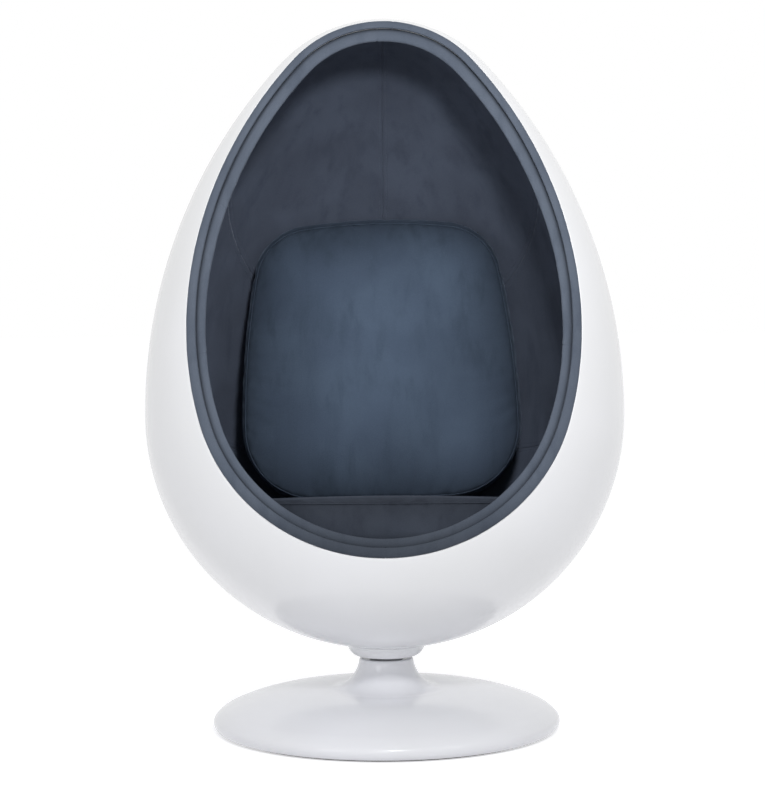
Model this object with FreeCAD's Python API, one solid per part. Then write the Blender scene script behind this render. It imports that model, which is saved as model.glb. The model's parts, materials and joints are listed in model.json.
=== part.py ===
# Pod chair: an egg-shaped shell with a slanted opening, lined inside, on a swivelling trumpet base.
# Millimetres. +Z is up and the opening faces -Y. The origin is on the floor, on the swivel axis.
# The egg and the base are turned shapes. Every layer of the egg is the same egg drawn smaller:
# its three arcs keep their centres and lose the layer's depth from their radii.
# The opening is one slanted plane, and the padded edge lies on that plane.
import FreeCAD, Part
import math
import os

from FreeCAD import Placement, Rotation, Vector

# Egg
egg_radius = 425.0
egg_widest_height = 564.0
egg_side_arc = 908.0
egg_crown_arc = 248.0
egg_bowl_arc = 415.0
shell_wall = 6.0
foam_thickness = 14.0
lining_thickness = 2.0

# Opening, measured where its plane passes the level of the widest ring
lip_reach = 294.0
lip_lean = 18.0
lip_bead_depth = 10.0
lip_bead_width = 6.0

# Padded edge of the opening: a flat band on the lip and a round roll inside it
band_width = 9.0
band_height = 8.0
band_round = 3.4
band_margin = 0.6
roll_width = 12.5
roll_depth = 17.0
roll_round = 5.6
trim_groove = 2.4

# Lining seams
hood_seam_height = 680.0
hood_seam_angle = 45.5
bowl_seam_height = 454.0
bowl_seam_angle = 13.0

# Seat
seat_front = 300.0
seat_height = 433.0
seat_tilt = 6.5
seat_thickness = 100.0
seat_crown = 18.0
seat_crown_reach = 425.0
seat_edge_round = 12.0
seat_front_bow = 9.0
seat_clearance = 3.0
cover_thickness = 2.5
deck_thickness = 12.0
deck_clearance = 0.8
cleat_count = 4
cleat_width = 90.0
cleat_depth = 45.0
cleat_height = 30.0
cleat_turn = 45.0
deck_screw_radius = 2.2
deck_screw_head = 4.4
deck_screw_length = 28.0
deck_screw_inset = 24.0

# Back cushion
cushion_width = 504.0
cushion_height = 517.0
cushion_border = 88.0
cushion_crown = 24.0
cushion_crown_angles = (0.0, 28.0, 56.0, 78.0)
cushion_bulge = 9.0
cushion_lift = 8.0
cushion_widest = 130.0
cushion_side_arc = 1590.0
cushion_foot_arc = 2800.0
cushion_top_arc = 1120.0
cushion_low_corner = 128.0
cushion_high_corner = 103.0
cushion_lean = 12.0
cushion_foot = 106.0
cushion_gap = 1.0
cushion_seam_rise = 16.0

# Swivel
spindle_radius = 15.0
spindle_clearance = 0.05
spindle_end_height = 27.0
bush_wall = 9.0
bush_length = 24.0
bush_lower_height = 52.0
hub_boss_radius = 28.0
hub_flange_radius = 56.0
hub_flange_thickness = 6.0
hub_washer_radius = 21.0
hub_washer_thickness = 3.0
hub_nut_flats = 36.0
hub_nut_height = 14.0
hub_end_play = 0.5
race_radius = 29.5
race_thickness = 3.0
race_bore_clearance = 0.6
race_drop = 8.0
roller_radius = 2.0
roller_length = 8.0
roller_count = 16
roller_clearance = 0.05
cage_thickness = 2.2
cage_clearance = 0.2
swivel_bolt_radius = 4.0
swivel_bolt_circle = 42.0
swivel_bolt_count = 4
swivel_bolt_turn = 45.0
bolt_hole_clearance = 0.3
bolt_head_flats = 13.0
bolt_head_height = 5.3
swivel_pad_thickness = 19.0
swivel_pad_margin = 2.0
backing_plate_radius = 62.0
backing_plate_thickness = 6.0

# Collar cup under the egg
cup_radius = 69.0
cup_foot_radius = 45.0
cup_wall = 3.5
cup_side_height = 20.0
cup_bore_clearance = 2.0
swivel_gap = 4.0

# Trumpet base
neck_height = 127.0
neck_radius = 48.5
neck_top_round = 4.0
neck_flare_angle = 8.0
neck_foot = (107.0, 72.4)
dome_shoulder = (206.5, 64.4)
dome_brow = (282.7, 41.8)
dome_edge = (306.0, 25.6)
base_tread_radius = 292.4
trumpet_wall = 5.0
trumpet_floor_gap = 0.6
pad_thickness = 3.0
pad_inset = 3.0
ballast_thickness = 12.0
ballast_clearance = 1.5
post_wall = 6.0
post_clearance = 0.8
foot_radius = 95.0
foot_thickness = 8.0
foot_bolt_count = 6
foot_bolt_circle = 72.0
foot_bolt_radius = 4.0
foot_bolt_head = 8.0
base_screw_count = 6
base_screw_circle = 264.0
base_screw_radius = 2.5
base_screw_head = 5.0
base_screw_length = 26.0
base_boss_radius = 9.0

# Working values: a length beyond everything, rounds of a slow sum, a right angle in degrees, the way up
far = 2000.0
settling_steps = 12
upright = 90.0
up = Vector(0, 0, 1)

# Heights and radii that follow from the sizes above
lining_depth = shell_wall + foam_thickness + lining_thickness
bowl_centre_radius = egg_radius - egg_bowl_arc
egg_bottom_height = egg_widest_height - math.sqrt(egg_bowl_arc ** 2 - min(bowl_centre_radius, 0) ** 2)
bush_outer_radius = spindle_radius + bush_wall
post_outer_radius = bush_outer_radius + post_wall
cup_foot_height = neck_height + swivel_gap
roller_ring_radius = (spindle_radius + race_radius) / 2
race_spacing = 2 * (roller_radius + roller_clearance)
race_lower_height = neck_height - race_drop
race_upper_height = race_lower_height + race_thickness + race_spacing
roller_height = race_lower_height + race_thickness + race_spacing / 2
hub_boss_height = race_upper_height + race_thickness
pad_face_height = egg_bottom_height - swivel_pad_margin
hub_flange_height = pad_face_height - hub_flange_thickness
pad_top_height = pad_face_height + swivel_pad_thickness
ballast_top = pad_thickness + ballast_thickness
foot_top = ballast_top + foot_thickness
spindle_bore = spindle_radius + spindle_clearance
roll_front = band_height - trim_groove
roll_back = roll_front - roll_depth
padding_front_depth = max(-roll_back, lip_bead_depth)


# Drawing helpers

def on_profile(radius, height):
    """A point of a turned profile, drawn in the XZ plane."""
    return Vector(radius, 0, height)


def turn(edges):
    """Turn a closed profile about the vertical axis into one solid."""
    face = Part.Face(Part.Wire(Part.__sortEdges__(edges)))
    return face.revolve(Vector(0, 0, 0), up, 360).Solids[0]


def ring(inner, outer, low, high):
    """A flat ring, or a disc where inner is 0."""
    solid = Part.makeCylinder(outer, high - low, Vector(0, 0, low))
    if inner > 0:
        solid = solid.cut(Part.makeCylinder(inner, high - low, Vector(0, 0, low)))
    return solid


def spoke(bearing):
    """A level direction, in degrees from +X towards +Y."""
    return Vector(math.cos(math.radians(bearing)), math.sin(math.radians(bearing)), 0)


def bearings(count, start=0.0):
    """Evenly spaced bearings in degrees."""
    return [start + 360.0 * step / count for step in range(count)]


def circle_points(count, radius, start=0.0):
    """Points evenly spaced on a level circle."""
    return [spoke(bearing) * radius for bearing in bearings(count, start)]


def hexagon(flats, low, high, centre):
    """A hexagonal bolt head or nut."""
    corner = flats / math.sqrt(3)
    corners = [centre + point + up * low for point in circle_points(6, corner)]
    return Part.Face(Part.makePolygon(corners + corners[:1])).extrude(up * (high - low))


def heading_of(angle):
    """A direction in the XZ plane, in degrees up from +X."""
    return Vector(math.cos(math.radians(angle)), 0, math.sin(math.radians(angle)))


def tangent_arcs(start, heading, ends, shift=0.0):
    """Arcs from point to point, each leaving on the heading of the one before.

    A shift draws the same chain that far to the right of the way it runs.
    """
    edges = []
    here = start
    for end in ends:
        chord = math.degrees(math.atan2(end.z - here.z, end.x - here.x))
        leaving = 2 * chord - heading
        half = math.radians(chord - heading)
        length = (end - here).Length
        bow = math.tan(half / 2) * length / 2
        middle = (here + end) * 0.5 + heading_of(chord - 90) * bow
        points = [here + heading_of(heading - 90) * shift,
                  middle + heading_of(chord - 90) * shift,
                  end + heading_of(leaving - 90) * shift]
        edges.append(Part.Arc(*points).toShape())
        here, heading = end, leaving
    return edges


def first_point(edges):
    """Where a chain of edges starts."""
    return edges[0].valueAt(edges[0].FirstParameter)


def last_point(edges):
    """Where a chain of edges ends."""
    return edges[-1].valueAt(edges[-1].LastParameter)


def fused(solids):
    """One solid from pieces that share faces or volume."""
    result = solids[0].fuse(solids[1:]).removeSplitter()
    return result.Solids[0] if len(result.Solids) == 1 else result


# The egg and its cutting planes

def egg(depth):
    """The whole egg, drawn that deep under its outer surface."""
    side, crown, bowl = egg_side_arc - depth, egg_crown_arc - depth, egg_bowl_arc - depth
    side_centre = Vector(egg_radius - egg_side_arc, 0, egg_widest_height)
    rise = math.sqrt((egg_side_arc - egg_crown_arc) ** 2 - side_centre.x ** 2)
    crown_centre = side_centre + Vector(-side_centre.x, 0, rise)
    bowl_centre = Vector(bowl_centre_radius, 0, egg_widest_height)
    to_crown = (crown_centre - side_centre).normalize()
    lift = math.degrees(math.atan2(to_crown.z, to_crown.x))
    bottom_turn = -90 - math.degrees(math.asin(bowl_centre_radius / bowl))

    def on_arc(centre, radius, angle):
        return centre + heading_of(angle) * radius

    bottom = on_arc(bowl_centre, bowl, bottom_turn)
    widest = on_arc(bowl_centre, bowl, 0)
    shoulder = on_arc(side_centre, side, lift)
    top = crown_centre + up * crown
    return turn([
        Part.Arc(bottom, on_arc(bowl_centre, bowl, bottom_turn / 2), widest).toShape(),
        Part.Arc(widest, on_arc(side_centre, side, lift / 2), shoulder).toShape(),
        Part.Arc(shoulder, on_arc(crown_centre, crown, (lift + 90) / 2), top).toShape(),
        Part.makeLine(top, bottom)])


def slab(place, low, high):
    """A wide flat slab between two heights of a placed plane."""
    box = Part.makeBox(2 * far, 2 * far, high - low, Vector(-far, -far, low))
    box.Placement = place
    return box


def tilted(origin, angle):
    """The placement of a plane turned about the X direction."""
    return Placement(origin, Rotation(Vector(1, 0, 0), angle))


lip_plane = tilted(Vector(0, -lip_reach, egg_widest_height), upright - lip_lean)
seat_plane = tilted(Vector(0, -seat_front, seat_height), -seat_tilt)
hood_plane = tilted(Vector(0, egg_radius - lining_depth, hood_seam_height), -hood_seam_angle)
bowl_plane = tilted(Vector(0, egg_radius - lining_depth, bowl_seam_height), -bowl_seam_angle)


def behind_lip(depth=0.0):
    """Everything further in than the lip plane, less a depth."""
    return slab(lip_plane, -far, -depth)


def egg_layer(outer, inner, depth):
    """A layer of the egg, open at the front from a depth behind the lip."""
    return egg(outer).cut(egg(inner)).common(behind_lip(depth))


# Sub-parts of the base

def trumpet_profile(shift):
    """The base from the neck's top edge to the rim's tread, as one chain of arcs."""
    top = on_profile(neck_radius, neck_height - neck_top_round)
    tread = on_profile(base_tread_radius, pad_thickness + trumpet_floor_gap)
    ends = [on_profile(*point) for point in (neck_foot, dome_shoulder, dome_brow, dome_edge)]
    return tangent_arcs(top, -90 + neck_flare_angle, ends + [tread], shift)


def base_trumpet():
    """Turned skin with a flat neck ring, closed under the skin's rounded rim, and screw bosses."""
    outside = trumpet_profile(0)
    inside = trumpet_profile(trumpet_wall)
    bore = post_outer_radius + post_clearance
    top_edge = on_profile(neck_radius - neck_top_round, neck_height)
    corner = Part.Arc(top_edge, on_profile(neck_radius - neck_top_round * (1 - math.sin(math.pi / 4)),
                                           neck_height - neck_top_round * (1 - math.cos(math.pi / 4))),
                      first_point(outside)).toShape()
    ring_bottom = neck_height - trumpet_wall
    under = on_profile(first_point(inside).x, ring_bottom)
    skin = turn([
        corner, *outside, Part.makeLine(last_point(outside), last_point(inside)), *inside,
        Part.makeLine(first_point(inside), under), Part.makeLine(under, on_profile(bore, ring_bottom)),
        Part.makeLine(on_profile(bore, ring_bottom), on_profile(bore, neck_height)),
        Part.makeLine(on_profile(bore, neck_height), top_edge)])
    axis_low, axis_high = on_profile(0, last_point(outside).z), on_profile(0, first_point(outside).z)
    filled = turn([*outside, Part.makeLine(last_point(outside), axis_low),
                   Part.makeLine(axis_low, axis_high), Part.makeLine(axis_high, first_point(outside))])
    posts = [Part.makeCylinder(base_boss_radius, neck_height, centre + up * ballast_top)
             for centre in circle_points(base_screw_count, base_screw_circle)]
    return fused([skin] + [post.common(filled) for post in posts]).cut(base_screws())


def floor_pad():
    """Felt disc on the floor."""
    return ring(0, base_tread_radius - pad_inset, 0, pad_thickness)


def countersunk(radius, head, length, centre, head_height):
    """A countersunk screw with its head down at head_height and its shank upwards."""
    sink = head - radius
    cone = Part.makeCone(head, radius, sink, centre + up * head_height)
    shank = Part.makeCylinder(radius, length - sink, centre + up * (head_height + sink))
    return fused([cone, shank])


def base_screws():
    """Screws from below that hold the skin down on the ballast plate."""
    return Part.makeCompound([
        countersunk(base_screw_radius, base_screw_head, base_screw_length, centre, pad_thickness)
        for centre in circle_points(base_screw_count, base_screw_circle)])


def pedestal_bolts():
    """Bolts from below that hold the pedestal foot on the ballast plate."""
    return Part.makeCompound([
        countersunk(foot_bolt_radius, foot_bolt_head, ballast_thickness + foot_thickness, centre,
                    pad_thickness)
        for centre in circle_points(foot_bolt_count, foot_bolt_circle)])


def ballast_plate():
    """Steel disc that weighs the base down, bored for its screws."""
    disc = ring(0, base_tread_radius - trumpet_wall - ballast_clearance, pad_thickness, ballast_top)
    return disc.cut(base_screws()).cut(pedestal_bolts())


def pedestal_foot():
    """Round steel foot, tapped for the bolts from below."""
    return ring(0, foot_radius, ballast_top, foot_top).cut(pedestal_bolts())


def pedestal_tube():
    """Steel post that stands on the foot and carries the bearing."""
    return ring(bush_outer_radius, post_outer_radius, foot_top, race_lower_height)


def bush(low):
    """A plain bush pressed into the post."""
    return ring(spindle_bore, bush_outer_radius, low, low + bush_length)


def race(low):
    """A flat washer for the rollers to run on."""
    return ring(spindle_radius + race_bore_clearance, race_radius, low, low + race_thickness)


def rollers(grow):
    """Short rollers that point at the spindle."""
    start = roller_ring_radius - roller_length / 2 - grow
    length = roller_length + 2 * grow
    solids = []
    for bearing in bearings(roller_count):
        inner_end = spoke(bearing) * start + up * roller_height
        solids.append(Part.makeCylinder(roller_radius + grow, length, inner_end, spoke(bearing)))
    return Part.makeCompound(solids)


def bearing_cage():
    """Thin ring with a pocket for every roller."""
    low = roller_height - cage_thickness / 2
    cage = ring(spindle_radius + 2 * race_bore_clearance, race_radius - race_bore_clearance, low,
                low + cage_thickness)
    return cage.cut(rollers(cage_clearance))


# Sub-parts of the swivel, on the egg's side

def swivel_hub():
    """Flange, boss and long spindle, welded as one."""
    flange = ring(0, hub_flange_radius, hub_flange_height, pad_face_height)
    boss = ring(0, hub_boss_radius, hub_boss_height, hub_flange_height)
    spindle = ring(0, spindle_radius, spindle_end_height, hub_boss_height)
    hub = fused([flange, boss, spindle])
    return hub.cut(swivel_bolt_holes(hub_flange_height, pad_face_height))


def hub_washer():
    """Washer under the lower bush that keeps the spindle from lifting out."""
    high = bush_lower_height - hub_end_play
    return ring(spindle_radius, hub_washer_radius, high - hub_washer_thickness, high)


def hub_nut():
    """Hexagon nut on the lower end of the spindle."""
    high = bush_lower_height - hub_end_play - hub_washer_thickness
    nut = hexagon(hub_nut_flats, high - hub_nut_height, high, Vector(0, 0, 0))
    return nut.cut(ring(0, spindle_radius, high - hub_nut_height, high))


def swivel_bolt_centres():
    """The swivel bolts' places in plan."""
    return circle_points(swivel_bolt_count, swivel_bolt_circle, swivel_bolt_turn)


def swivel_bolt_holes(low, high):
    """Clearance holes for the swivel bolts between two heights."""
    return Part.makeCompound([
        Part.makeCylinder(swivel_bolt_radius + bolt_hole_clearance, high - low, centre + up * low)
        for centre in swivel_bolt_centres()])


def swivel_bolts():
    """Hexagon bolts from below, through flange, shell and backing plate."""
    nut_top = pad_top_height + backing_plate_thickness + bolt_head_height
    bolts = []
    for centre in swivel_bolt_centres():
        head = hexagon(bolt_head_flats, hub_flange_height - bolt_head_height, hub_flange_height, centre)
        shank = Part.makeCylinder(swivel_bolt_radius, nut_top - hub_flange_height,
                                  centre + up * hub_flange_height)
        bolts.append(fused([head, shank]))
    return Part.makeCompound(bolts)


def swivel_nuts():
    """Hexagon nuts on the backing plate."""
    low = pad_top_height + backing_plate_thickness
    nuts = []
    for centre in swivel_bolt_centres():
        nut = hexagon(bolt_head_flats, low, low + bolt_head_height, centre)
        nuts.append(nut.cut(Part.makeCylinder(swivel_bolt_radius, bolt_head_height, centre + up * low)))
    return Part.makeCompound(nuts)


def backing_plate():
    """Round plate inside the shell that spreads the load of the swivel bolts."""
    low = pad_top_height
    plate = ring(0, backing_plate_radius, low, low + backing_plate_thickness)
    return plate.cut(swivel_bolt_holes(low, low + backing_plate_thickness))


def collar_cup():
    """Small bowl that hides the hub and seats against the egg's underside."""
    side = cup_foot_height + cup_side_height
    top = egg_widest_height
    rim_out, rim_in = on_profile(cup_radius, top), on_profile(cup_radius - cup_wall, top)
    side_out, side_in = on_profile(cup_radius, side), on_profile(cup_radius - cup_wall, side)
    bore = hub_boss_radius + cup_bore_clearance
    foot_out = on_profile(cup_foot_radius, cup_foot_height)
    outer_arc = tangent_arcs(side_out, -90, [foot_out])
    inner_arc = tangent_arcs(side_out, -90, [foot_out], cup_wall)
    leaves = last_point(inner_arc)
    floor_out = on_profile(bore, cup_foot_height)
    floor_in = on_profile(bore, leaves.z)
    bowl = turn([Part.makeLine(rim_in, rim_out), Part.makeLine(rim_out, side_out), *outer_arc,
                 Part.makeLine(foot_out, floor_out), Part.makeLine(floor_out, floor_in),
                 Part.makeLine(floor_in, leaves), *inner_arc, Part.makeLine(side_in, rim_in)])
    return bowl.cut(egg(0))


# Sub-parts of the egg

def egg_shell():
    """Moulded egg: skin, thickened lip on the slanted plane, and a flat pad for the swivel."""
    skin = egg_layer(0, shell_wall, 0)
    bead = trim_ring(shell_wall, shell_wall + lip_bead_width, -lip_bead_depth, 0)
    pad_inside = egg(shell_wall).common(slab(Placement(), -far, pad_top_height))
    pad_below = ring(0, hub_flange_radius + swivel_pad_margin, pad_face_height, pad_top_height).cut(
        egg(shell_wall))
    shell = fused([skin, bead, pad_inside, pad_below])
    return shell.cut(swivel_bolt_holes(pad_face_height, pad_top_height))


def trim_ring(outer, inner, low, high):
    """A ring that follows the lip: an egg layer cut by two planes along the lip."""
    return egg(outer).cut(egg(inner)).common(slab(lip_plane, low, high))


def lip_height(edge):
    """How far an edge lies in front of the lip plane."""
    middle = edge.valueAt((edge.FirstParameter + edge.LastParameter) / 2)
    return lip_plane.inverse().multVec(middle).z


def rim_band():
    """Flat padded band on the front of the lip, its two front edges rounded."""
    solid = trim_ring(band_margin, band_margin + band_width, 0, band_height)
    front = [edge for edge in solid.Edges if lip_height(edge) > band_height / 2]
    return solid.makeFillet(band_round, front)


def rim_roll():
    """Round padded roll inside the lip, bedded on the end of the foam."""
    outer = shell_wall + lip_bead_width
    solid = trim_ring(outer, outer + roll_width, roll_back, roll_front)
    return solid.makeFillet(roll_round, solid.Edges)


def padding_layer(outer, inner):
    """A layer of the egg from the deck up to the back of the padded edge."""
    return egg_layer(outer, inner, padding_front_depth).common(slab(seat_plane, -seat_thickness, far))


def half_space(side):
    """Everything to the left or to the right of the middle."""
    return Part.makeBox(far, 2 * far, 2 * far, Vector(0 if side == "right" else -far, -far, -far))


def foam(side):
    """Half of the foam layer between shell and lining."""
    return padding_layer(shell_wall, shell_wall + foam_thickness).common(half_space(side))


def lining_bowl():
    """Lower panel of the lining, in one piece, under the bowl seam."""
    return padding_layer(shell_wall + foam_thickness, lining_depth).common(slab(bowl_plane, -far, 0))


def lining_hood(side):
    """Left or right panel of the lining over the hood seam."""
    layer = padding_layer(shell_wall + foam_thickness, lining_depth).common(slab(hood_plane, 0, far))
    return layer.common(half_space(side))


def lining_side(side):
    """Left or right panel of the lining between the hood seam and the bowl seam."""
    layer = padding_layer(shell_wall + foam_thickness, lining_depth).common(slab(hood_plane, -far, 0))
    return layer.common(slab(bowl_plane, 0, far)).common(half_space(side))


def seat_deck():
    """Plywood deck that follows the inside of the shell and carries the seat cushion."""
    deck = egg(shell_wall + deck_clearance).common(
        slab(seat_plane, -seat_thickness - deck_thickness, -seat_thickness))
    return deck.common(behind_lip(padding_front_depth + deck_clearance)).cut(deck_screws())


def deck_level(point):
    """The height of the deck's upper face at a point in plan."""
    fall = math.tan(math.radians(seat_tilt)) * (point.y + seat_front)
    return seat_height - seat_thickness / math.cos(math.radians(seat_tilt)) - fall


def under_deck(bearing, inset):
    """A point on the deck at a bearing, that far in from where its underside meets the shell."""
    reach = egg_radius
    for _ in range(settling_steps):
        drop = egg_widest_height - deck_level(spoke(bearing) * reach) + deck_thickness
        reach = bowl_centre_radius + math.sqrt((egg_bowl_arc - shell_wall) ** 2 - drop ** 2)
    return spoke(bearing) * (reach - inset)


def deck_cleats():
    """Wooden cleats bonded to the shell under the deck."""
    inside = egg(shell_wall).common(slab(seat_plane, -far, -seat_thickness - deck_thickness))
    cleats = []
    for bearing in bearings(cleat_count, cleat_turn):
        block = Part.makeBox(2 * cleat_depth, cleat_width, far, Vector(0, -cleat_width / 2, -cleat_height))
        corner = under_deck(bearing, cleat_depth)
        low = deck_level(corner) - deck_thickness
        block.Placement = Placement(corner + up * low, Rotation(up, bearing))
        cleats.append(block.common(inside).cut(deck_screws()))
    return Part.makeCompound([solid for cleat in cleats for solid in cleat.Solids])


def deck_screws():
    """Countersunk screws down through the deck into the cleats."""
    screws = []
    for bearing in bearings(cleat_count, cleat_turn):
        point = under_deck(bearing, deck_screw_inset)
        screw = countersunk(deck_screw_radius, deck_screw_head, deck_screw_length, Vector(0, 0, 0), 0)
        screw.Placement = tilted(point + up * deck_level(point), 180 - seat_tilt)
        screws.append(screw)
    return Part.makeCompound(screws)


# Cushions

def seat_crown_ball(grow):
    """The large ball whose top is the seat's crowned surface, lying on its side."""
    radius = (seat_crown_reach ** 2 + seat_crown ** 2) / (2 * seat_crown)
    centre = seat_plane.multVec(Vector(0, seat_front, seat_crown - radius))
    return Part.makeSphere(radius + grow, centre, Vector(0, 1, 0))


def seat_block(inset):
    """Round cushion with a straight bowed front and a crowned, soft-edged top, drawn in by an inset."""
    layer = slab(seat_plane, inset - seat_thickness, seat_crown)
    body = egg(lining_depth + seat_clearance + inset).common(layer)
    front_arc = ((seat_thickness / 2) ** 2 + seat_front_bow ** 2) / (2 * seat_front_bow)
    behind = front_arc - seat_front_bow
    tube = Part.makeCylinder(front_arc - inset, 2 * far, Vector(-far, behind, -seat_thickness / 2),
                             Vector(1, 0, 0))
    rest = Part.makeBox(2 * far, far, far, Vector(-far, behind, -far / 2))
    front = fused([tube, rest])
    front.Placement = seat_plane
    block = body.common(seat_crown_ball(-inset)).common(front)
    block = block.common(behind_lip(padding_front_depth + seat_clearance + inset))
    top = max(block.Faces, key=lambda face: face.normalAt(*face.Surface.parameter(face.CenterOfMass)).z)
    return block.makeFillet(seat_edge_round - inset, top.OuterWire.Edges)


def circle_corner(centre_a, arc_a, centre_b, arc_b, corner, away):
    """A corner circle inside two larger ones and touching both: its centre and touching points."""
    reach_a, reach_b = arc_a - corner, arc_b - corner
    span = centre_b - centre_a
    gap = span.Length
    along = (reach_a ** 2 - reach_b ** 2 + gap ** 2) / (2 * gap)
    side = math.sqrt(reach_a ** 2 - along ** 2)
    direction = Vector(span.x, span.y, 0).normalize()
    across = Vector(-direction.y, direction.x, 0)
    options = [centre_a + direction * along + across * side, centre_a + direction * along - across * side]
    centre = min(options, key=lambda point: (point - away).Length)
    touch_a = centre + (centre - centre_a).normalize() * corner
    touch_b = centre + (centre - centre_b).normalize() * corner
    return centre, touch_a, touch_b


def cushion_outline(grow, scale, depth, lift=0.0):
    """Rounded square with bowed sides, wider at its foot, at a depth behind the front seam."""
    half, high = cushion_width / 2, cushion_height
    side_centre = Vector(half - cushion_side_arc, cushion_widest, 0)
    foot_centre = Vector(0, cushion_foot_arc, 0)
    top_centre = Vector(0, high - cushion_top_arc, 0)
    side = cushion_side_arc + grow
    low, low_end, low_side = circle_corner(foot_centre, cushion_foot_arc + grow, side_centre, side,
                                           cushion_low_corner + grow, Vector(half, 0, 0))
    top, top_end, top_side = circle_corner(top_centre, cushion_top_arc + grow, side_centre, side,
                                           cushion_high_corner + grow, Vector(half, high, 0))

    def mirrored(point):
        return Vector(-point.x, point.y, 0)

    foot_middle = Vector(0, -grow, 0)
    top_middle = Vector(0, high + grow, 0)
    low_bend = low + (low_end + low_side - low * 2).normalize() * (cushion_low_corner + grow)
    top_bend = top + (top_end + top_side - top * 2).normalize() * (cushion_high_corner + grow)
    side_bend = side_centre + ((low_side + top_side) * 0.5 - side_centre).normalize() * side
    path = [(mirrored(low_end), foot_middle, low_end), (low_end, low_bend, low_side),
            (low_side, side_bend, top_side), (top_side, top_bend, top_end),
            (top_end, top_middle, mirrored(top_end)),
            (mirrored(top_end), mirrored(top_bend), mirrored(top_side)),
            (mirrored(top_side), mirrored(side_bend), mirrored(low_side)),
            (mirrored(low_side), mirrored(low_bend), mirrored(low_end))]
    middle = Vector(0, high / 2, 0)

    def placed(point):
        point = middle + (point - middle) * scale
        return Vector(point.x, point.y + lift, -depth)

    return Part.Wire([Part.Arc(*[placed(point) for point in arc]).toShape() for arc in path])


def cushion_block(inset):
    """Boxed cushion: a bulging border between two seams, and a crowned face on each side.

    The border rides up in its middle, and the cushion is pressed flat where it leans on the lining
    and where it stands on the seat.
    """
    border = Part.makeLoft([
        cushion_outline(-inset, 1.0, 0),
        cushion_outline(cushion_bulge - inset, 1.0, cushion_border / 2, cushion_lift),
        cushion_outline(-inset, 1.0, cushion_border)], True)
    crown = cushion_crown - inset
    steps = [(math.cos(math.radians(angle)), math.sin(math.radians(angle)))
             for angle in cushion_crown_angles]
    front = Part.makeLoft([cushion_outline(-inset, scale, -crown * rise) for scale, rise in steps], True)
    back = Part.makeLoft([cushion_outline(-inset, scale, cushion_border + crown * rise)
                          for scale, rise in steps], True)
    block = fused([border, front, back])
    block.Placement = cushion_place()
    room = egg(lining_depth + cushion_gap + inset)
    return block.common(room).cut(seat_crown_ball(cushion_gap + inset))


def cushion_place():
    """The back cushion's front seam plane, standing on the seat and leaning back."""
    foot_level = seat_height - math.tan(math.radians(seat_tilt)) * (cushion_foot + seat_front)
    foot = Vector(0, cushion_foot, foot_level + cushion_seam_rise)
    return tilted(foot, upright - cushion_lean)


def cover(block):
    """The sewn cover: the block less its core."""
    return block(0).cut(block(cover_thickness))


nodes = {
    "floor_pad": floor_pad,
    "ballast_plate": ballast_plate,
    "base_trumpet": base_trumpet,
    "base_screws": base_screws,
    "pedestal_foot": pedestal_foot,
    "pedestal_tube": pedestal_tube,
    "pedestal_bolts": pedestal_bolts,
    "lower_bush": lambda: bush(bush_lower_height),
    "upper_bush": lambda: bush(race_lower_height - bush_length),
    "bearing_lower_race": lambda: race(race_lower_height),
    "bearing_rollers": lambda: rollers(0),
    "bearing_cage": bearing_cage,
    "bearing_upper_race": lambda: race(race_upper_height),
    "swivel_hub": swivel_hub,
    "hub_washer": hub_washer,
    "hub_nut": hub_nut,
    "collar_cup": collar_cup,
    "egg_shell": egg_shell,
    "backing_plate": backing_plate,
    "swivel_bolts": swivel_bolts,
    "swivel_nuts": swivel_nuts,
    "seat_deck": seat_deck,
    "deck_cleats": deck_cleats,
    "deck_screws": deck_screws,
    "foam_left": lambda: foam("left"),
    "foam_right": lambda: foam("right"),
    "lining_hood_left": lambda: lining_hood("left"),
    "lining_hood_right": lambda: lining_hood("right"),
    "lining_side_left": lambda: lining_side("left"),
    "lining_side_right": lambda: lining_side("right"),
    "lining_bowl": lining_bowl,
    "rim_band": rim_band,
    "rim_roll": rim_roll,
    "seat_core": lambda: seat_block(cover_thickness),
    "seat_cover": lambda: cover(seat_block),
    "back_core": lambda: cushion_block(cover_thickness),
    "back_cover": lambda: cover(cushion_block),
}

os.makedirs("parts", exist_ok=True)
for name, build in nodes.items():
    build().exportStep(os.path.join("parts", name + ".step"))
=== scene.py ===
"""Pod chair: a dressed model of an egg-shaped lounge chair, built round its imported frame.

Metres. +Z is up, the opening faces -Y and the origin is on the floor, on the swivel axis. The egg is
three arcs turned about that axis, and each layer inside it is the same egg drawn smaller, as in the
frame's own source. Its opening is one slanted plane, called the lip here.
"""

import json
import logging
import math
from dataclasses import dataclass, field
from enum import Enum
from typing import Callable, Iterable, Optional, Sequence

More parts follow.
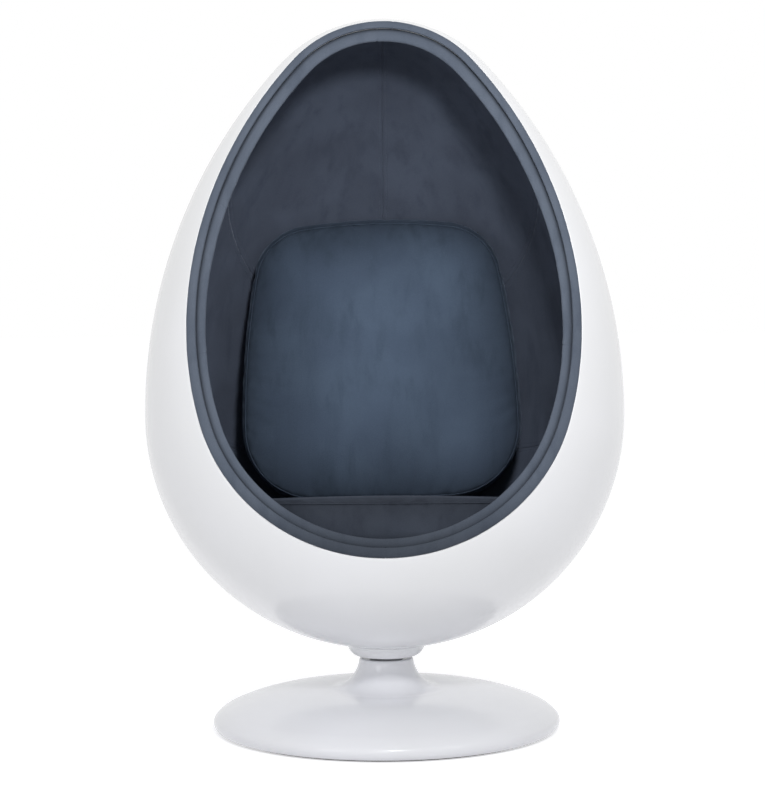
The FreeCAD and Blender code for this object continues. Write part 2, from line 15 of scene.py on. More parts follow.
import bmesh
import bpy
import numpy as np
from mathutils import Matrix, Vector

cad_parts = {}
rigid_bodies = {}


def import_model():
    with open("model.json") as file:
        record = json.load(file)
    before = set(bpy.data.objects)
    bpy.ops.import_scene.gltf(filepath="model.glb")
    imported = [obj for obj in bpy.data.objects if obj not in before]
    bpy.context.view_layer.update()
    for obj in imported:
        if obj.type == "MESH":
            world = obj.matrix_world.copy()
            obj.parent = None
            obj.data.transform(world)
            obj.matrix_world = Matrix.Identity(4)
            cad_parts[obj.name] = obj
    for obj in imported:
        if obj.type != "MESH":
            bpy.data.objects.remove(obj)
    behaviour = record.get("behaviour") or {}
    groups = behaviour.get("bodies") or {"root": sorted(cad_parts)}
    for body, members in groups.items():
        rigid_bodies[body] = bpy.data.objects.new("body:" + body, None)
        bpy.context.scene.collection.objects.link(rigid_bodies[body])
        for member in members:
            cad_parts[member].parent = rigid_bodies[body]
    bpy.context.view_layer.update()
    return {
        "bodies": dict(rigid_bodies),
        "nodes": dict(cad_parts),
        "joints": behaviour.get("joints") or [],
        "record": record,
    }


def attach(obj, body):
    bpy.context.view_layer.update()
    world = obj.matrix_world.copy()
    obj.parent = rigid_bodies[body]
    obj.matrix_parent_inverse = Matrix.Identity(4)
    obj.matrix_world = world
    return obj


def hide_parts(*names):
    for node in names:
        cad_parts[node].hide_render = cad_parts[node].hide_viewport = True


LOG = logging.getLogger("pod_chair")
Array = np.ndarray
MM = 0.001
ACROSS = np.array([1.0, 0.0, 0.0])
BACK = np.array([0.0, 1.0, 0.0])


class Side(Enum):
    """The sitter's surroundings, as seen by a viewer who faces the opening."""

    LEFT = -1
    RIGHT = 1


# Colour and shader nodes


def linear(code: str) -> tuple[float, float, float, float]:
    """Turn an sRGB hex colour into a linear one.

    Args:
        code: Six hex digits.

    Returns:
        Red, green, blue and an alpha of one.
    """
    parts = [int(code[k:k + 2], 16) / 255 for k in (0, 2, 4)]
    red, green, blue = [v / 12.92 if v <= 0.04045 else ((v + 0.055) / 1.055) ** 2.4 for v in parts]
    return red, green, blue, 1.0


def add(tree: bpy.types.NodeTree, kind: str, inputs: Optional[dict] = None, **settings) -> bpy.types.Node:
    """Add a shader node with its settings, values and links.

    Args:
        tree: The material's or the world's node tree.
        kind: The node's type.
        inputs: What goes into each socket, by name or number: a value or another node's output.
        **settings: The node's own settings.

    Returns:
        The node.
    """
    node = tree.nodes.new(kind)
    for name, value in settings.items():
        setattr(node, name, value)
    for name, value in (inputs or {}).items():
        if isinstance(value, bpy.types.NodeSocket):
            tree.links.new(value, node.inputs[name])
        else:
            node.inputs[name].default_value = value
    return node


def blank(name: str) -> tuple[bpy.types.Material, bpy.types.NodeTree, bpy.types.NodeSocket]:
    """Start a material that has only its output.

    Args:
        name: The material's name.

    Returns:
        The material, its tree and the place of its points on the object, in metres.
    """
    material = bpy.data.materials.new(name)
    material.use_nodes = True
    tree = material.node_tree
    tree.nodes.clear()
    return material, tree, add(tree, "ShaderNodeTexCoord").outputs["Object"]


def blend_colours(tree: bpy.types.NodeTree, factor, first, second) -> bpy.types.NodeSocket:
    """Mix two colours by a factor. Either is a value or a socket."""
    node = add(tree, "ShaderNodeMix", {0: factor, 6: first, 7: second}, data_type="RGBA")
    return node.outputs[2]


# Finishes


@dataclass(frozen=True)
class Velvet:
    """Short-pile polyester velvet, woven and sheared.

    The pile scatters light at grazing angles, so edges look paler than faces. A hand has brushed it
    this way and that, which leaves soft patches a few centimetres across. Painted shade darkens the
    colour beside seams, in creases and where a face turns from the lamps: pieces carry its share as
    a point attribute.
    """

    name: str
    pile: str
    brushed: str
    crushed: str
    halo: str
    patch: float = 0.110
    streak: float = 0.030
    fibre: float = 0.0016
    halo_weight: float = 0.30
    # colour factor where the painted shade is full
    shade_tone: float = 0.42

    def material(self) -> bpy.types.Material:
        """Build the node material."""
        material, tree, place = blank(self.name)
        patches = add(tree, "ShaderNodeTexNoise", {"Vector": place, "Scale": 1 / self.patch, "Detail": 3.0,
                                                   "Roughness": 0.5, "Distortion": 0.3})
        brushed = add(tree, "ShaderNodeMapping", {"Vector": place, "Scale": (1.0, 1.0, 0.22)})
        streaks = add(tree, "ShaderNodeTexNoise", {"Vector": brushed.outputs[0], "Scale": 1 / self.streak,
                                                   "Detail": 4.0, "Roughness": 0.55, "Distortion": 0.2})
        pile = add(tree, "ShaderNodeTexNoise", {"Vector": place, "Scale": 1 / self.fibre, "Detail": 2.0,
                                                "Roughness": 0.7})
        lifted = add(tree, "ShaderNodeMapRange", {"Value": patches.outputs["Fac"], "From Min": 0.34,
                                                  "From Max": 0.66}, interpolation_type="SMOOTHSTEP")
        pressed = add(tree, "ShaderNodeMapRange", {"Value": streaks.outputs["Fac"], "From Min": 0.44,
                                                   "From Max": 0.80}, interpolation_type="SMOOTHSTEP")
        grain = add(tree, "ShaderNodeMapRange", {"Value": pile.outputs["Fac"], "From Min": 0.30,
                                                 "From Max": 0.70, "To Min": 0.90, "To Max": 1.08})
        colour = blend_colours(tree, lifted.outputs[0], linear(self.pile), linear(self.brushed))
        colour = blend_colours(tree, pressed.outputs[0], colour, linear(self.crushed))
        grained = add(tree, "ShaderNodeVectorMath", {0: colour, 1: grain.outputs[0]}, operation="MULTIPLY")
        # painted shade: the stored share darkens the colour towards the shade tone
        beside = add(tree, "ShaderNodeAttribute", attribute_name="painted_shade")
        shade = add(tree, "ShaderNodeMapRange", {"Value": beside.outputs["Fac"], "To Min": 1.0,
                                                 "To Max": self.shade_tone})
        grained = add(tree, "ShaderNodeVectorMath", {0: grained.outputs[0], 1: shade.outputs[0]},
                      operation="MULTIPLY")
        nap = add(tree, "ShaderNodeBump", {"Height": pile.outputs["Fac"], "Strength": 0.25,
                                           "Distance": 0.25 * MM})
        drape = add(tree, "ShaderNodeBump", {"Height": patches.outputs["Fac"], "Strength": 0.25,
                                             "Distance": 1.5 * MM, "Normal": nap.outputs[0]})
        shader = add(tree, "ShaderNodeBsdfPrincipled", {
            "Base Color": grained.outputs[0], "Roughness": 0.92, "Specular IOR Level": 0.18,
            "Sheen Weight": self.halo_weight, "Sheen Roughness": 0.38, "Sheen Tint": linear(self.halo),
            "Normal": drape.outputs[0]})
        add(tree, "ShaderNodeOutputMaterial", {"Surface": shader.outputs[0]})
        return material


@dataclass(frozen=True)
class GelCoat:
    """White polyester gel-coat on hand-laid glass fibre, polished.

    Gloss with a faint unevenness from the mould, and a colour that drifts a little where dust and
    polish settle.
    """

    name: str
    colour: str
    drifted: str
    drift: float = 0.30
    waviness: float = 0.090
    peel: float = 0.0022
    roughness: float = 0.24
    coat: float = 0.35

    def material(self) -> bpy.types.Material:
        """Build the node material."""
        material, tree, place = blank(self.name)
        drift = add(tree, "ShaderNodeTexNoise", {"Vector": place, "Scale": 1 / self.drift, "Detail": 2.0})
        waves = add(tree, "ShaderNodeTexNoise", {"Vector": place, "Scale": 1 / self.waviness, "Detail": 1.0})
        peel = add(tree, "ShaderNodeTexNoise", {"Vector": place, "Scale": 1 / self.peel, "Detail": 1.0})
        scuffs = add(tree, "ShaderNodeTexNoise", {"Vector": place, "Scale": 1 / self.waviness, "Detail": 5.0,
                                                  "Roughness": 0.7})
        drifted = add(tree, "ShaderNodeMapRange", {"Value": drift.outputs["Fac"], "From Min": 0.35,
                                                   "From Max": 0.65})
        dulled = add(tree, "ShaderNodeMapRange", {"Value": scuffs.outputs["Fac"], "From Min": 0.40,
                                                  "From Max": 0.75, "To Min": self.roughness,
                                                  "To Max": self.roughness + 0.015})
        colour = blend_colours(tree, drifted.outputs[0], linear(self.colour), linear(self.drifted))
        fine = add(tree, "ShaderNodeBump", {"Height": peel.outputs["Fac"], "Strength": 0.02,
                                            "Distance": 0.02 * MM})
        broad = add(tree, "ShaderNodeBump", {"Height": waves.outputs["Fac"], "Strength": 0.03,
                                             "Distance": 0.5 * MM, "Normal": fine.outputs[0]})
        shader = add(tree, "ShaderNodeBsdfPrincipled", {
            "Base Color": colour, "Roughness": dulled.outputs[0], "IOR": 1.50, "Specular IOR Level": 0.45,
            "Coat Weight": self.coat, "Coat Roughness": 0.06, "Normal": broad.outputs[0]})
        add(tree, "ShaderNodeOutputMaterial", {"Surface": shader.outputs[0]})
        return material


@dataclass(frozen=True)
class Sheet:
    """Plain engineering stock with a grain: rolled steel, sintered bronze, veneer, felt or cut foam.

    The grain is one noise stretched along an axis, and the same noise dulls and roughens the face.
    """

    name: str
    colour: str
    grain: str
    spacing: float
    stretch: tuple[float, float, float] = (1.0, 1.0, 1.0)
    metallic: float = 0.0
    roughness: float = 0.5
    relief: float = 0.1

    def material(self) -> bpy.types.Material:
        """Build the node material."""
        material, tree, place = blank(self.name)
        drawn = add(tree, "ShaderNodeMapping", {"Vector": place, "Scale": self.stretch})
        grain = add(tree, "ShaderNodeTexNoise", {"Vector": drawn.outputs[0], "Scale": 1 / self.spacing,
                                                 "Detail": 4.0, "Roughness": 0.6})
        shown = add(tree, "ShaderNodeMapRange", {"Value": grain.outputs["Fac"], "From Min": 0.35,
                                                 "From Max": 0.65})
        rough = add(tree, "ShaderNodeMapRange", {"Value": grain.outputs["Fac"], "To Min": self.roughness - 0.08,
                                                 "To Max": self.roughness + 0.08})
        colour = blend_colours(tree, shown.outputs[0], linear(self.colour), linear(self.grain))
        raised = add(tree, "ShaderNodeBump", {"Height": grain.outputs["Fac"], "Strength": self.relief,
                                              "Distance": 0.2 * MM})
        shader = add(tree, "ShaderNodeBsdfPrincipled", {
            "Base Color": colour, "Metallic": self.metallic, "Roughness": rough.outputs[0],
            "Normal": raised.outputs[0]})
        add(tree, "ShaderNodeOutputMaterial", {"Surface": shader.outputs[0]})
        return material


SHELL_GLOSS = GelCoat("gel_coat_polished_white", "f5f6f9", "f1f2f4")
BASE_GLOSS = GelCoat("gel_coat_base_cool_white", "eaebf0", "e6e7eb", roughness=0.26)
LINING_VELVET = Velvet("velvet_lining_slate", "4d5463", "535b6b", "474e5d", "aab4c6", halo_weight=0.55)
# a darker copy of the lining's slate velvet: painted shade on the seat
SEAT_VELVET = Velvet("velvet_seat_slate", "444b58", "4a515e", "3e4451", "9aa5b8", halo_weight=0.12)
CUSHION_VELVET = Velvet("velvet_cushion_slate_blue", "4e5c70", "546377", "485668", "9fb2cc", halo_weight=0.2)
# a lighter copy of the lining's slate velvet: painted light on the rim, which faces the lamps
TRIM_VELVET = Velvet("velvet_trim_slate", "545c69", "5a626f", "4d5562", "b4bfcf", halo_weight=0.35)
HIDDEN_FINISHES = {
    "foam": Sheet("foam_cut_polyurethane", "e6dcbc", "d9cda6", 2.2 * MM, roughness=0.95, relief=0.6),
    "plywood": Sheet("plywood_birch_sanded", "d9b98b", "b98f5c", 3.0 * MM, (1.0, 0.08, 1.0), roughness=0.6),
    "steel": Sheet("steel_zinc_plated", "9c9fa3", "86898e", 1.2 * MM, metallic=1.0, roughness=0.38),
    "bronze": Sheet("bronze_sintered", "a9804a", "8e6838", 0.8 * MM, metallic=1.0, roughness=0.45),
    "felt": Sheet("felt_pressed_black", "26262a", "1b1b1e", 1.5 * MM, roughness=0.95, relief=0.5),
}


# Meshes from arrays


def grid_faces(rows: int, columns: int, closed: bool = True) -> Array:
    """Quads of a grid whose points run row by row.

    Args:
        rows: How many rows of points.
        columns: How many points in a row.
        closed: Whether each row joins up with its own start.

    Returns:
        Four point numbers a face.
    """
    row, column = np.meshgrid(np.arange(rows - 1), np.arange(columns if closed else columns - 1),
                              indexing="ij")
    here, beside = row * columns + column, row * columns + (column + 1) % columns
    return np.stack([here, beside, beside + columns, here + columns], -1).reshape(-1, 4)


def make_piece(name: str, points: Array, faces: Array, merge: float = 0.0) -> bpy.types.Object:
    """Put arrays into a smooth mesh object whose faces point outwards.

    Args:
        name: The piece's name.
        points: Coordinates, any leading shape.
        faces: Point numbers of each quad.
        merge: Points closer than this become one, in metres. None are merged at zero.

    Returns:
        The object, linked to the scene.
    """
    mesh = bpy.data.meshes.new(name)
    mesh.from_pydata(points.reshape(-1, 3).tolist(), [], faces.tolist())
    work = bmesh.new()
    work.from_mesh(mesh)
    if merge:
        bmesh.ops.remove_doubles(work, verts=work.verts, dist=merge)
    bmesh.ops.recalc_face_normals(work, faces=work.faces)
    work.to_mesh(mesh)
    work.free()
    mesh.shade_smooth()
    piece = bpy.data.objects.new(name, mesh)
    bpy.context.scene.collection.objects.link(piece)
    return piece


def dress(piece: bpy.types.Object, body: str, finish: bpy.types.Material,
          replaces: Iterable[str] = ()) -> bpy.types.Object:
    """Give a piece its finish, its body and the frame nodes that it stands for.

    Args:
        piece: The piece, in place.
        body: The body that it rides on.
        finish: Its material.
        replaces: The nodes that it stands for.

    Returns:
        The same piece.
    """
    piece.data.materials.clear()
    piece.data.materials.append(finish)
    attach(piece, body)
    nodes = list(replaces)
    if nodes:
        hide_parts(*nodes)
    LOG.info("%s rides on %s, %d faces", piece.name, body, len(piece.data.polygons))
    return piece


def vertices_of(mesh: bpy.types.Mesh) -> Array:
    """Read a mesh's points as an array."""
    flat = np.empty(len(mesh.vertices) * 3, np.float32)
    mesh.vertices.foreach_get("co", flat)
    return flat.reshape(-1, 3).astype(float)


def store_shade(mesh: bpy.types.Mesh, share: Array) -> None:
    """Store at each vertex its share of painted shade."""
    attribute = mesh.attributes.new("painted_shade", "FLOAT", "POINT")
    attribute.data.foreach_set("value", share.astype(np.float32))


def set_vertices(mesh: bpy.types.Mesh, points: Array) -> None:
    """Write a mesh's points from an array."""
    mesh.vertices.foreach_set("co", points.astype(np.float32).ravel())
    mesh.update()


def subdivide(piece: bpy.types.Object) -> None:
    """Round a piece with one level of subdivision, kept in its mesh."""
    modifier = piece.modifiers.new("rounding", "SUBSURF")
    modifier.levels = modifier.render_levels = 1
    bpy.context.view_layer.update()
    shaped = piece.evaluated_get(bpy.context.evaluated_depsgraph_get())
    mesh = bpy.data.meshes.new_from_object(shaped)
    piece.modifiers.remove(modifier)
    piece.data = mesh
    mesh.shade_smooth()


def turned(profile: Array, segments: int) -> Array:
    """Turn a profile about the vertical axis.

    Args:
        profile: Radius and height of each point, in metres.
        segments: Points round the axis.

    Returns:
        Rows of points: each profile point swept over evenly spaced bearings.
    """
    bearing = np.linspace(0, 2 * np.pi, segments, endpoint=False)
    radius, height = profile[:, :1], profile[:, 1:]
    return np.stack([radius * np.cos(bearing), radius * np.sin(bearing), height + 0 * bearing], -1)


def arc_chain(start: Sequence[float], heading: float, ends: Sequence[Sequence[float]], shift: float,
              steps: int) -> Array:
    """Sample arcs that run from point to point, each leaving on the heading of the one before.

    A point at a share s of an arc lies on its circle at that share of its turn. The shift moves the
    whole chain to the right of its way.

    Args:
        start: Radius and height of the first point.
        heading: Its direction, in degrees up from the radius.
        ends: The later points.
        shift: The sideways shift.
        steps: Samples an arc.

    Returns:
        Radius and height of each sample.
    """
    here, angle, rows = np.array(start), math.radians(heading), []
    share = np.linspace(0, 1, steps, endpoint=False)
    for end in map(np.array, ends):
        chord = math.atan2(end[1] - here[1], end[0] - here[0])
        turn = 2 * (chord - angle)
        radius = np.linalg.norm(end - here) / (2 * math.sin(turn / 2))
        left = np.array([-math.sin(angle), math.cos(angle)])
        centre = here + left * radius
        direction = angle - math.pi / 2 + share * turn
        rows.append(centre + (radius + shift) * np.stack([np.cos(direction), np.sin(direction)], -1))
        here, angle = end, angle + turn
    direction = angle - math.pi / 2
    rows.append((here + shift * np.array([math.cos(direction), math.sin(direction)]))[None])
    return np.concatenate(rows)


def tube(path: Array, radius: float, sides: int, closed: bool) -> tuple[Array, Array]:
    """Carry a small circle along a path.

    The circle is square to the path at each point, and its first corner points away from the path's
    middle.

    Args:
        path: Points along the middle of the tube.
        radius: Its radius.
        sides: Corners of the circle.
        closed: Whether the path joins up with its start.

    Returns:
        Rows of points, one row a path point, and their quads.
    """
    along = np.roll(path, -1, 0) - np.roll(path, 1, 0) if closed else np.gradient(path, axis=0)
    along /= np.linalg.norm(along, axis=1, keepdims=True)
    outward = path - path.mean(0)
    outward -= (outward * along).sum(1, keepdims=True) * along
    outward /= np.linalg.norm(outward, axis=1, keepdims=True)
    beside = np.cross(along, outward)
    angle = np.linspace(0, 2 * np.pi, sides, endpoint=False)[None, :, None]
    points = path[:, None] + radius * (np.cos(angle) * outward[:, None] + np.sin(angle) * beside[:, None])
    if closed:
        points = np.concatenate([points, points[:1]])
    return points, grid_faces(len(points), sides)


def cap_radius(reach: float, rise: float) -> float:
    """Radius of the sphere whose cap has this reach and this rise."""
    return (reach ** 2 + rise ** 2) / (2 * rise)


def slow_noise(points: Array, size: float, seed: int, waves: int = 7) -> Array:
    """Smooth noise: the mean of a few plane sine waves with random directions and phases.

    Args:
        points: Coordinates.
        size: The length of one wave, in metres.
        seed: Fixes the directions and phases.
        waves: How many waves are added.

    Returns:
        A value near zero for each point, mostly between -1 and 1.
    """
    random = np.random.default_rng(seed)
    total = np.zeros(points.shape[:-1])
    for _ in range(waves):
        direction = random.normal(size=3)
        direction *= 2 * np.pi / (size * np.linalg.norm(direction))
        total += np.sin(points @ direction + random.uniform(0, 2 * np.pi))
    return total / math.sqrt(waves)


# The egg and its planes


@dataclass(frozen=True)
class Plane:
    """A plane turned about the X direction: where it is and its three directions."""

    origin: tuple[float, float, float]
    angle: float

    @property
    def along(self) -> Array:
        """The direction in the plane that is square to X."""
        return np.array([0.0, math.cos(math.radians(self.angle)), math.sin(math.radians(self.angle))])

    @property
    def out(self) -> Array:
        """The plane's own normal."""
        return np.array([0.0, -math.sin(math.radians(self.angle)), math.cos(math.radians(self.angle))])

    def height(self, points: Array) -> Array:
        """How far points lie in front of the plane."""
        return (points - np.array(self.origin)) @ self.out

    def world(self, local: Array) -> Array:
        """Turn the plane's own coordinates into the chair's."""
        return (np.array(self.origin) + local[..., :1] * ACROSS + local[..., 1:2] * self.along
                + local[..., 2:] * self.out)

    def local(self, points: Array) -> Array:
        """Turn the chair's coordinates into the plane's own."""
        step = points - np.array(self.origin)
        return np.stack([step @ ACROSS, step @ self.along, step @ self.out], -1)


LIP = Plane((0.0, -0.294, 0.564), 72.0)
SEAT_PLANE = Plane((0.0, -0.300, 0.433), -6.5)
HOOD_SEAM = Plane((0.0, 0.403, 0.680), -45.5)
BOWL_SEAM = Plane((0.0, 0.403, 0.454), -13.0)


@dataclass(frozen=True)
class EggForm:
    """The egg's outer surface, and every surface at a depth under it."""

    radius: float = 0.425
    widest: float = 0.564
    side_arc: float = 0.908
    crown_arc: float = 0.248
    bowl_arc: float = 0.415
    middle: float = 0.17
    steps: int = 42

    def arcs(self, points: Array) -> tuple[Array, Array, Array]:
        """Find the arc that each point belongs to.

        Args:
            points: Coordinates.

        Returns:
            The arc's radius, and the point's radius and height seen from that arc's centre.
        """
        reach = np.hypot(points[..., 0], points[..., 1])
        height = points[..., 2] - self.widest
        side = self.radius - self.side_arc
        rise = math.sqrt((self.side_arc - self.crown_arc) ** 2 - side ** 2)
        lift = math.atan2(rise, -side)
        crown = np.arctan2(height, reach - side) > lift
        bowl = height < 0
        arc = np.where(bowl, self.bowl_arc, np.where(crown, self.crown_arc, self.side_arc))
        centre = np.where(bowl, self.radius - self.bowl_arc, np.where(crown, 0.0, side))
        level = np.where(crown & ~bowl, rise, 0.0)
        return arc, reach - centre, height - level

    def depth(self, points: Array) -> Array:
        """How deep points lie: their arc's radius less their distance from its centre."""
        arc, reach, height = self.arcs(points)
        return arc - np.hypot(reach, height)

    def outward(self, points: Array) -> Array:
        """The direction out of the egg at each point: away from its arc's centre."""
        _, reach, height = self.arcs(points)
        level = points[..., :2] / np.maximum(np.hypot(points[..., 0], points[..., 1]), 1e-9)[..., None]
        away = np.concatenate([level * reach[..., None], height[..., None]], -1)
        return away / np.linalg.norm(away, axis=-1, keepdims=True)

    def cast(self, origin: Array, direction: Array, depth: Array) -> Array:
        """Follow rays from inside the egg until they reach a depth, by halving.

        Args:
            origin: Where each ray starts.
            direction: Its unit direction.
            depth: The depth that it stops at.

        Returns:
            The points where the rays stop.
        """
        near = np.zeros(np.broadcast_shapes(origin.shape, direction.shape)[:-1])
        far = near + 2 * self.side_arc
        for _ in range(self.steps):
            half = (near + far) / 2
            inside = self.depth(origin + half[..., None] * direction) > depth
            near, far = np.where(inside, half, near), np.where(inside, far, half)
        return origin + near[..., None] * direction

    def bowl_height(self, reach: Array) -> Array:
        """Height of the outer surface under the widest level, at distances from the axis."""
        return self.widest - np.sqrt(self.bowl_arc ** 2 - (reach - (self.radius - self.bowl_arc)) ** 2)

    def at_lip(self, turn: Array, depth: Array, height: Array) -> Array:
        """Points round the opening, on rays in a plane in front of or behind the lip.

        Args:
            turn: Angles round the opening from its lowest point, in radians.
            depth: Depths under the egg's surface.
            height: Heights in front of the lip.

        Returns:
            One point for each, all three broadcast.
        """
        turn, depth, height = np.broadcast_arrays(turn, depth, height)
        origin = LIP.world(np.stack([0 * turn, self.middle + 0 * turn, height], -1))
        direction = np.sin(turn)[..., None] * ACROSS - np.cos(turn)[..., None] * LIP.along
        return self.cast(origin, direction, depth)

    def within(self, turn: Array, dip: Array, depth: float, start: float) -> Array:
        """Points on the wall behind the lip, on rays from the middle of the opening.

        Args:
            turn: Angles round the opening from its lowest point, in radians.
            dip: Angles back from the lip, in radians.
            depth: The depth under the egg's surface.
            start: The height of the rays' start in front of the lip.

        Returns:
            One point for each pair of angles.
        """
        origin = LIP.world(np.array([0.0, self.middle, start]))
        level = np.sin(turn)[..., None] * ACROSS - np.cos(turn)[..., None] * LIP.along
        direction = np.cos(dip)[..., None] * level - np.sin(dip)[..., None] * LIP.out
        return self.cast(origin, direction, np.full(np.shape(turn), depth))


EGG = EggForm()


# Sub-assemblies


@dataclass
class Base:
    """Trumpet base: a turned skin that flares from a neck to a broad, low dome with a rolled rim."""

    neck_height: float = 0.127
    neck_radius: float = 0.0485
    neck_round: float = 0.004
    flare: float = 8.0
    bends: tuple = ((0.107, 0.0724), (0.2065, 0.0644), (0.2827, 0.0418), (0.306, 0.0256), (0.2924, 0.0036))
    wall: float = 0.005
    bore: float = 0.0308
    arc_steps: int = 22
    segments: int = 256

    def profile(self) -> Array:
        """Close the outer chain of arcs with the same chain moved inwards by the wall."""
        top = (self.neck_radius, self.neck_height - self.neck_round)
        outside = arc_chain(top, -90 + self.flare, self.bends, 0.0, self.arc_steps)
        inside = arc_chain(top, -90 + self.flare, self.bends, self.wall, self.arc_steps)[::-1]
        angle = np.linspace(np.pi / 2, 0, 8)[:, None]
        middle = np.array([self.neck_radius - self.neck_round, self.neck_height - self.neck_round])
        corner = middle + self.neck_round * np.concatenate([np.cos(angle), np.sin(angle)], 1)
        under = self.neck_height - self.wall
        collar = np.array([[self.neck_radius - self.wall, under], [self.bore, under],
                           [self.bore, self.neck_height]])
        return np.concatenate([corner, outside[1:], inside, collar])

    def build(self, gloss: bpy.types.Material) -> None:
        """Make and dress the skin."""
        rows = turned(self.profile(), self.segments)
        rows = np.concatenate([rows, rows[:1]])
        skin = make_piece("base_skin", rows, grid_faces(len(rows), self.segments), merge=1e-6)
        dress(skin, "base", gloss, ["base_trumpet"])


@dataclass
class Shell:
    """Moulded egg with a thickened lip, and the small cup that hides the swivel under it."""

    wall: float = 0.006
    lip_width: float = 0.012
    lip_depth: float = 0.010
    edge_round: float = 0.0012
    cup_radius: float = 0.069
    cup_foot_radius: float = 0.045
    cup_wall: float = 0.0035
    cup_side: float = 0.020
    cup_foot: float = 0.131
    cup_bore: float = 0.030
    cup_heading: float = -98.0
    pad_radius: float = 0.058
    pad_face: float = 0.147
    turns: int = 336
    rows: int = 130

    def skin(self, gloss: bpy.types.Material) -> None:
        """Outer wall, rolled lip and inner wall as one closed surface."""
        turn = np.linspace(0, 2 * np.pi, self.turns, endpoint=False)[None]
        dip = np.linspace(0, np.pi / 2, self.rows)[:, None]
        turns, dips = np.broadcast_arrays(turn, dip)
        quarter = np.linspace(0, np.pi / 2, 6)[:, None]
        edge, wide = self.edge_round, self.lip_width
        outer = EGG.within(turns, dips, 0.0, -edge)[::-1]
        roll_out = EGG.at_lip(turn, edge * (1 - np.cos(quarter)), -edge * (1 - np.sin(quarter)))
        roll_in = EGG.at_lip(turn, wide - edge * (1 - np.sin(quarter)), -edge * (1 - np.cos(quarter)))
        back = np.array([[wide, -self.lip_depth], [self.wall + edge, -self.lip_depth]])
        shelf = EGG.at_lip(turn, back[:, :1], back[:, 1:])
        inner = EGG.within(turns, dips, self.wall, -self.lip_depth - edge)
        points = np.concatenate([outer, roll_out, roll_in, shelf, inner])
        piece = make_piece("egg_skin", points, grid_faces(len(points), self.turns), merge=1e-6)
        dress(piece, "egg", gloss, ["egg_shell"])

    def swivel_pad(self, gloss: bpy.types.Material) -> None:
        """Flat moulded boss under the egg that the swivel is bolted to."""
        reach = np.linspace(self.pad_radius, 0.0, 12)
        profile = np.concatenate([np.array([[0.0, self.pad_face], [self.pad_radius, self.pad_face]]),
                                  np.stack([reach, EGG.bowl_height(reach) + 0.5 * self.wall], -1)])
        rows = turned(profile, 96)
        piece = make_piece("egg_swivel_pad", rows, grid_faces(len(rows), 96), merge=1e-6)
        dress(piece, "egg", gloss)

    def cup(self, gloss: bpy.types.Material) -> None:
        """Small bowl that seats against the egg's underside."""
        side = self.cup_foot + self.cup_side
        outside = arc_chain((self.cup_radius, side), self.cup_heading, [(self.cup_foot_radius, self.cup_foot)],
                            0.0, 24)
        inside = arc_chain((self.cup_radius, side), self.cup_heading, [(self.cup_foot_radius, self.cup_foot)],
                           self.cup_wall, 24)[::-1]
        reach = np.array([self.cup_radius - self.cup_wall, self.cup_radius])
        rim = EGG.bowl_height(reach)
        floor = np.array([[self.cup_bore, self.cup_foot], [self.cup_bore, self.cup_foot + self.cup_wall]])
        profile = np.concatenate([[[reach[1], rim[1]]], outside, floor, inside, [[reach[0], rim[0]]],
                                  [[reach[1], rim[1]]]])
        rows = turned(profile, 192)
        piece = make_piece("collar_bowl", rows, grid_faces(len(rows), 192), merge=1e-6)
        dress(piece, "egg", gloss, ["collar_cup"])

    def build(self, gloss: bpy.types.Material) -> None:
        """Make and dress the shell's pieces."""
        self.skin(gloss)
        self.swivel_pad(gloss)
        self.cup(gloss)


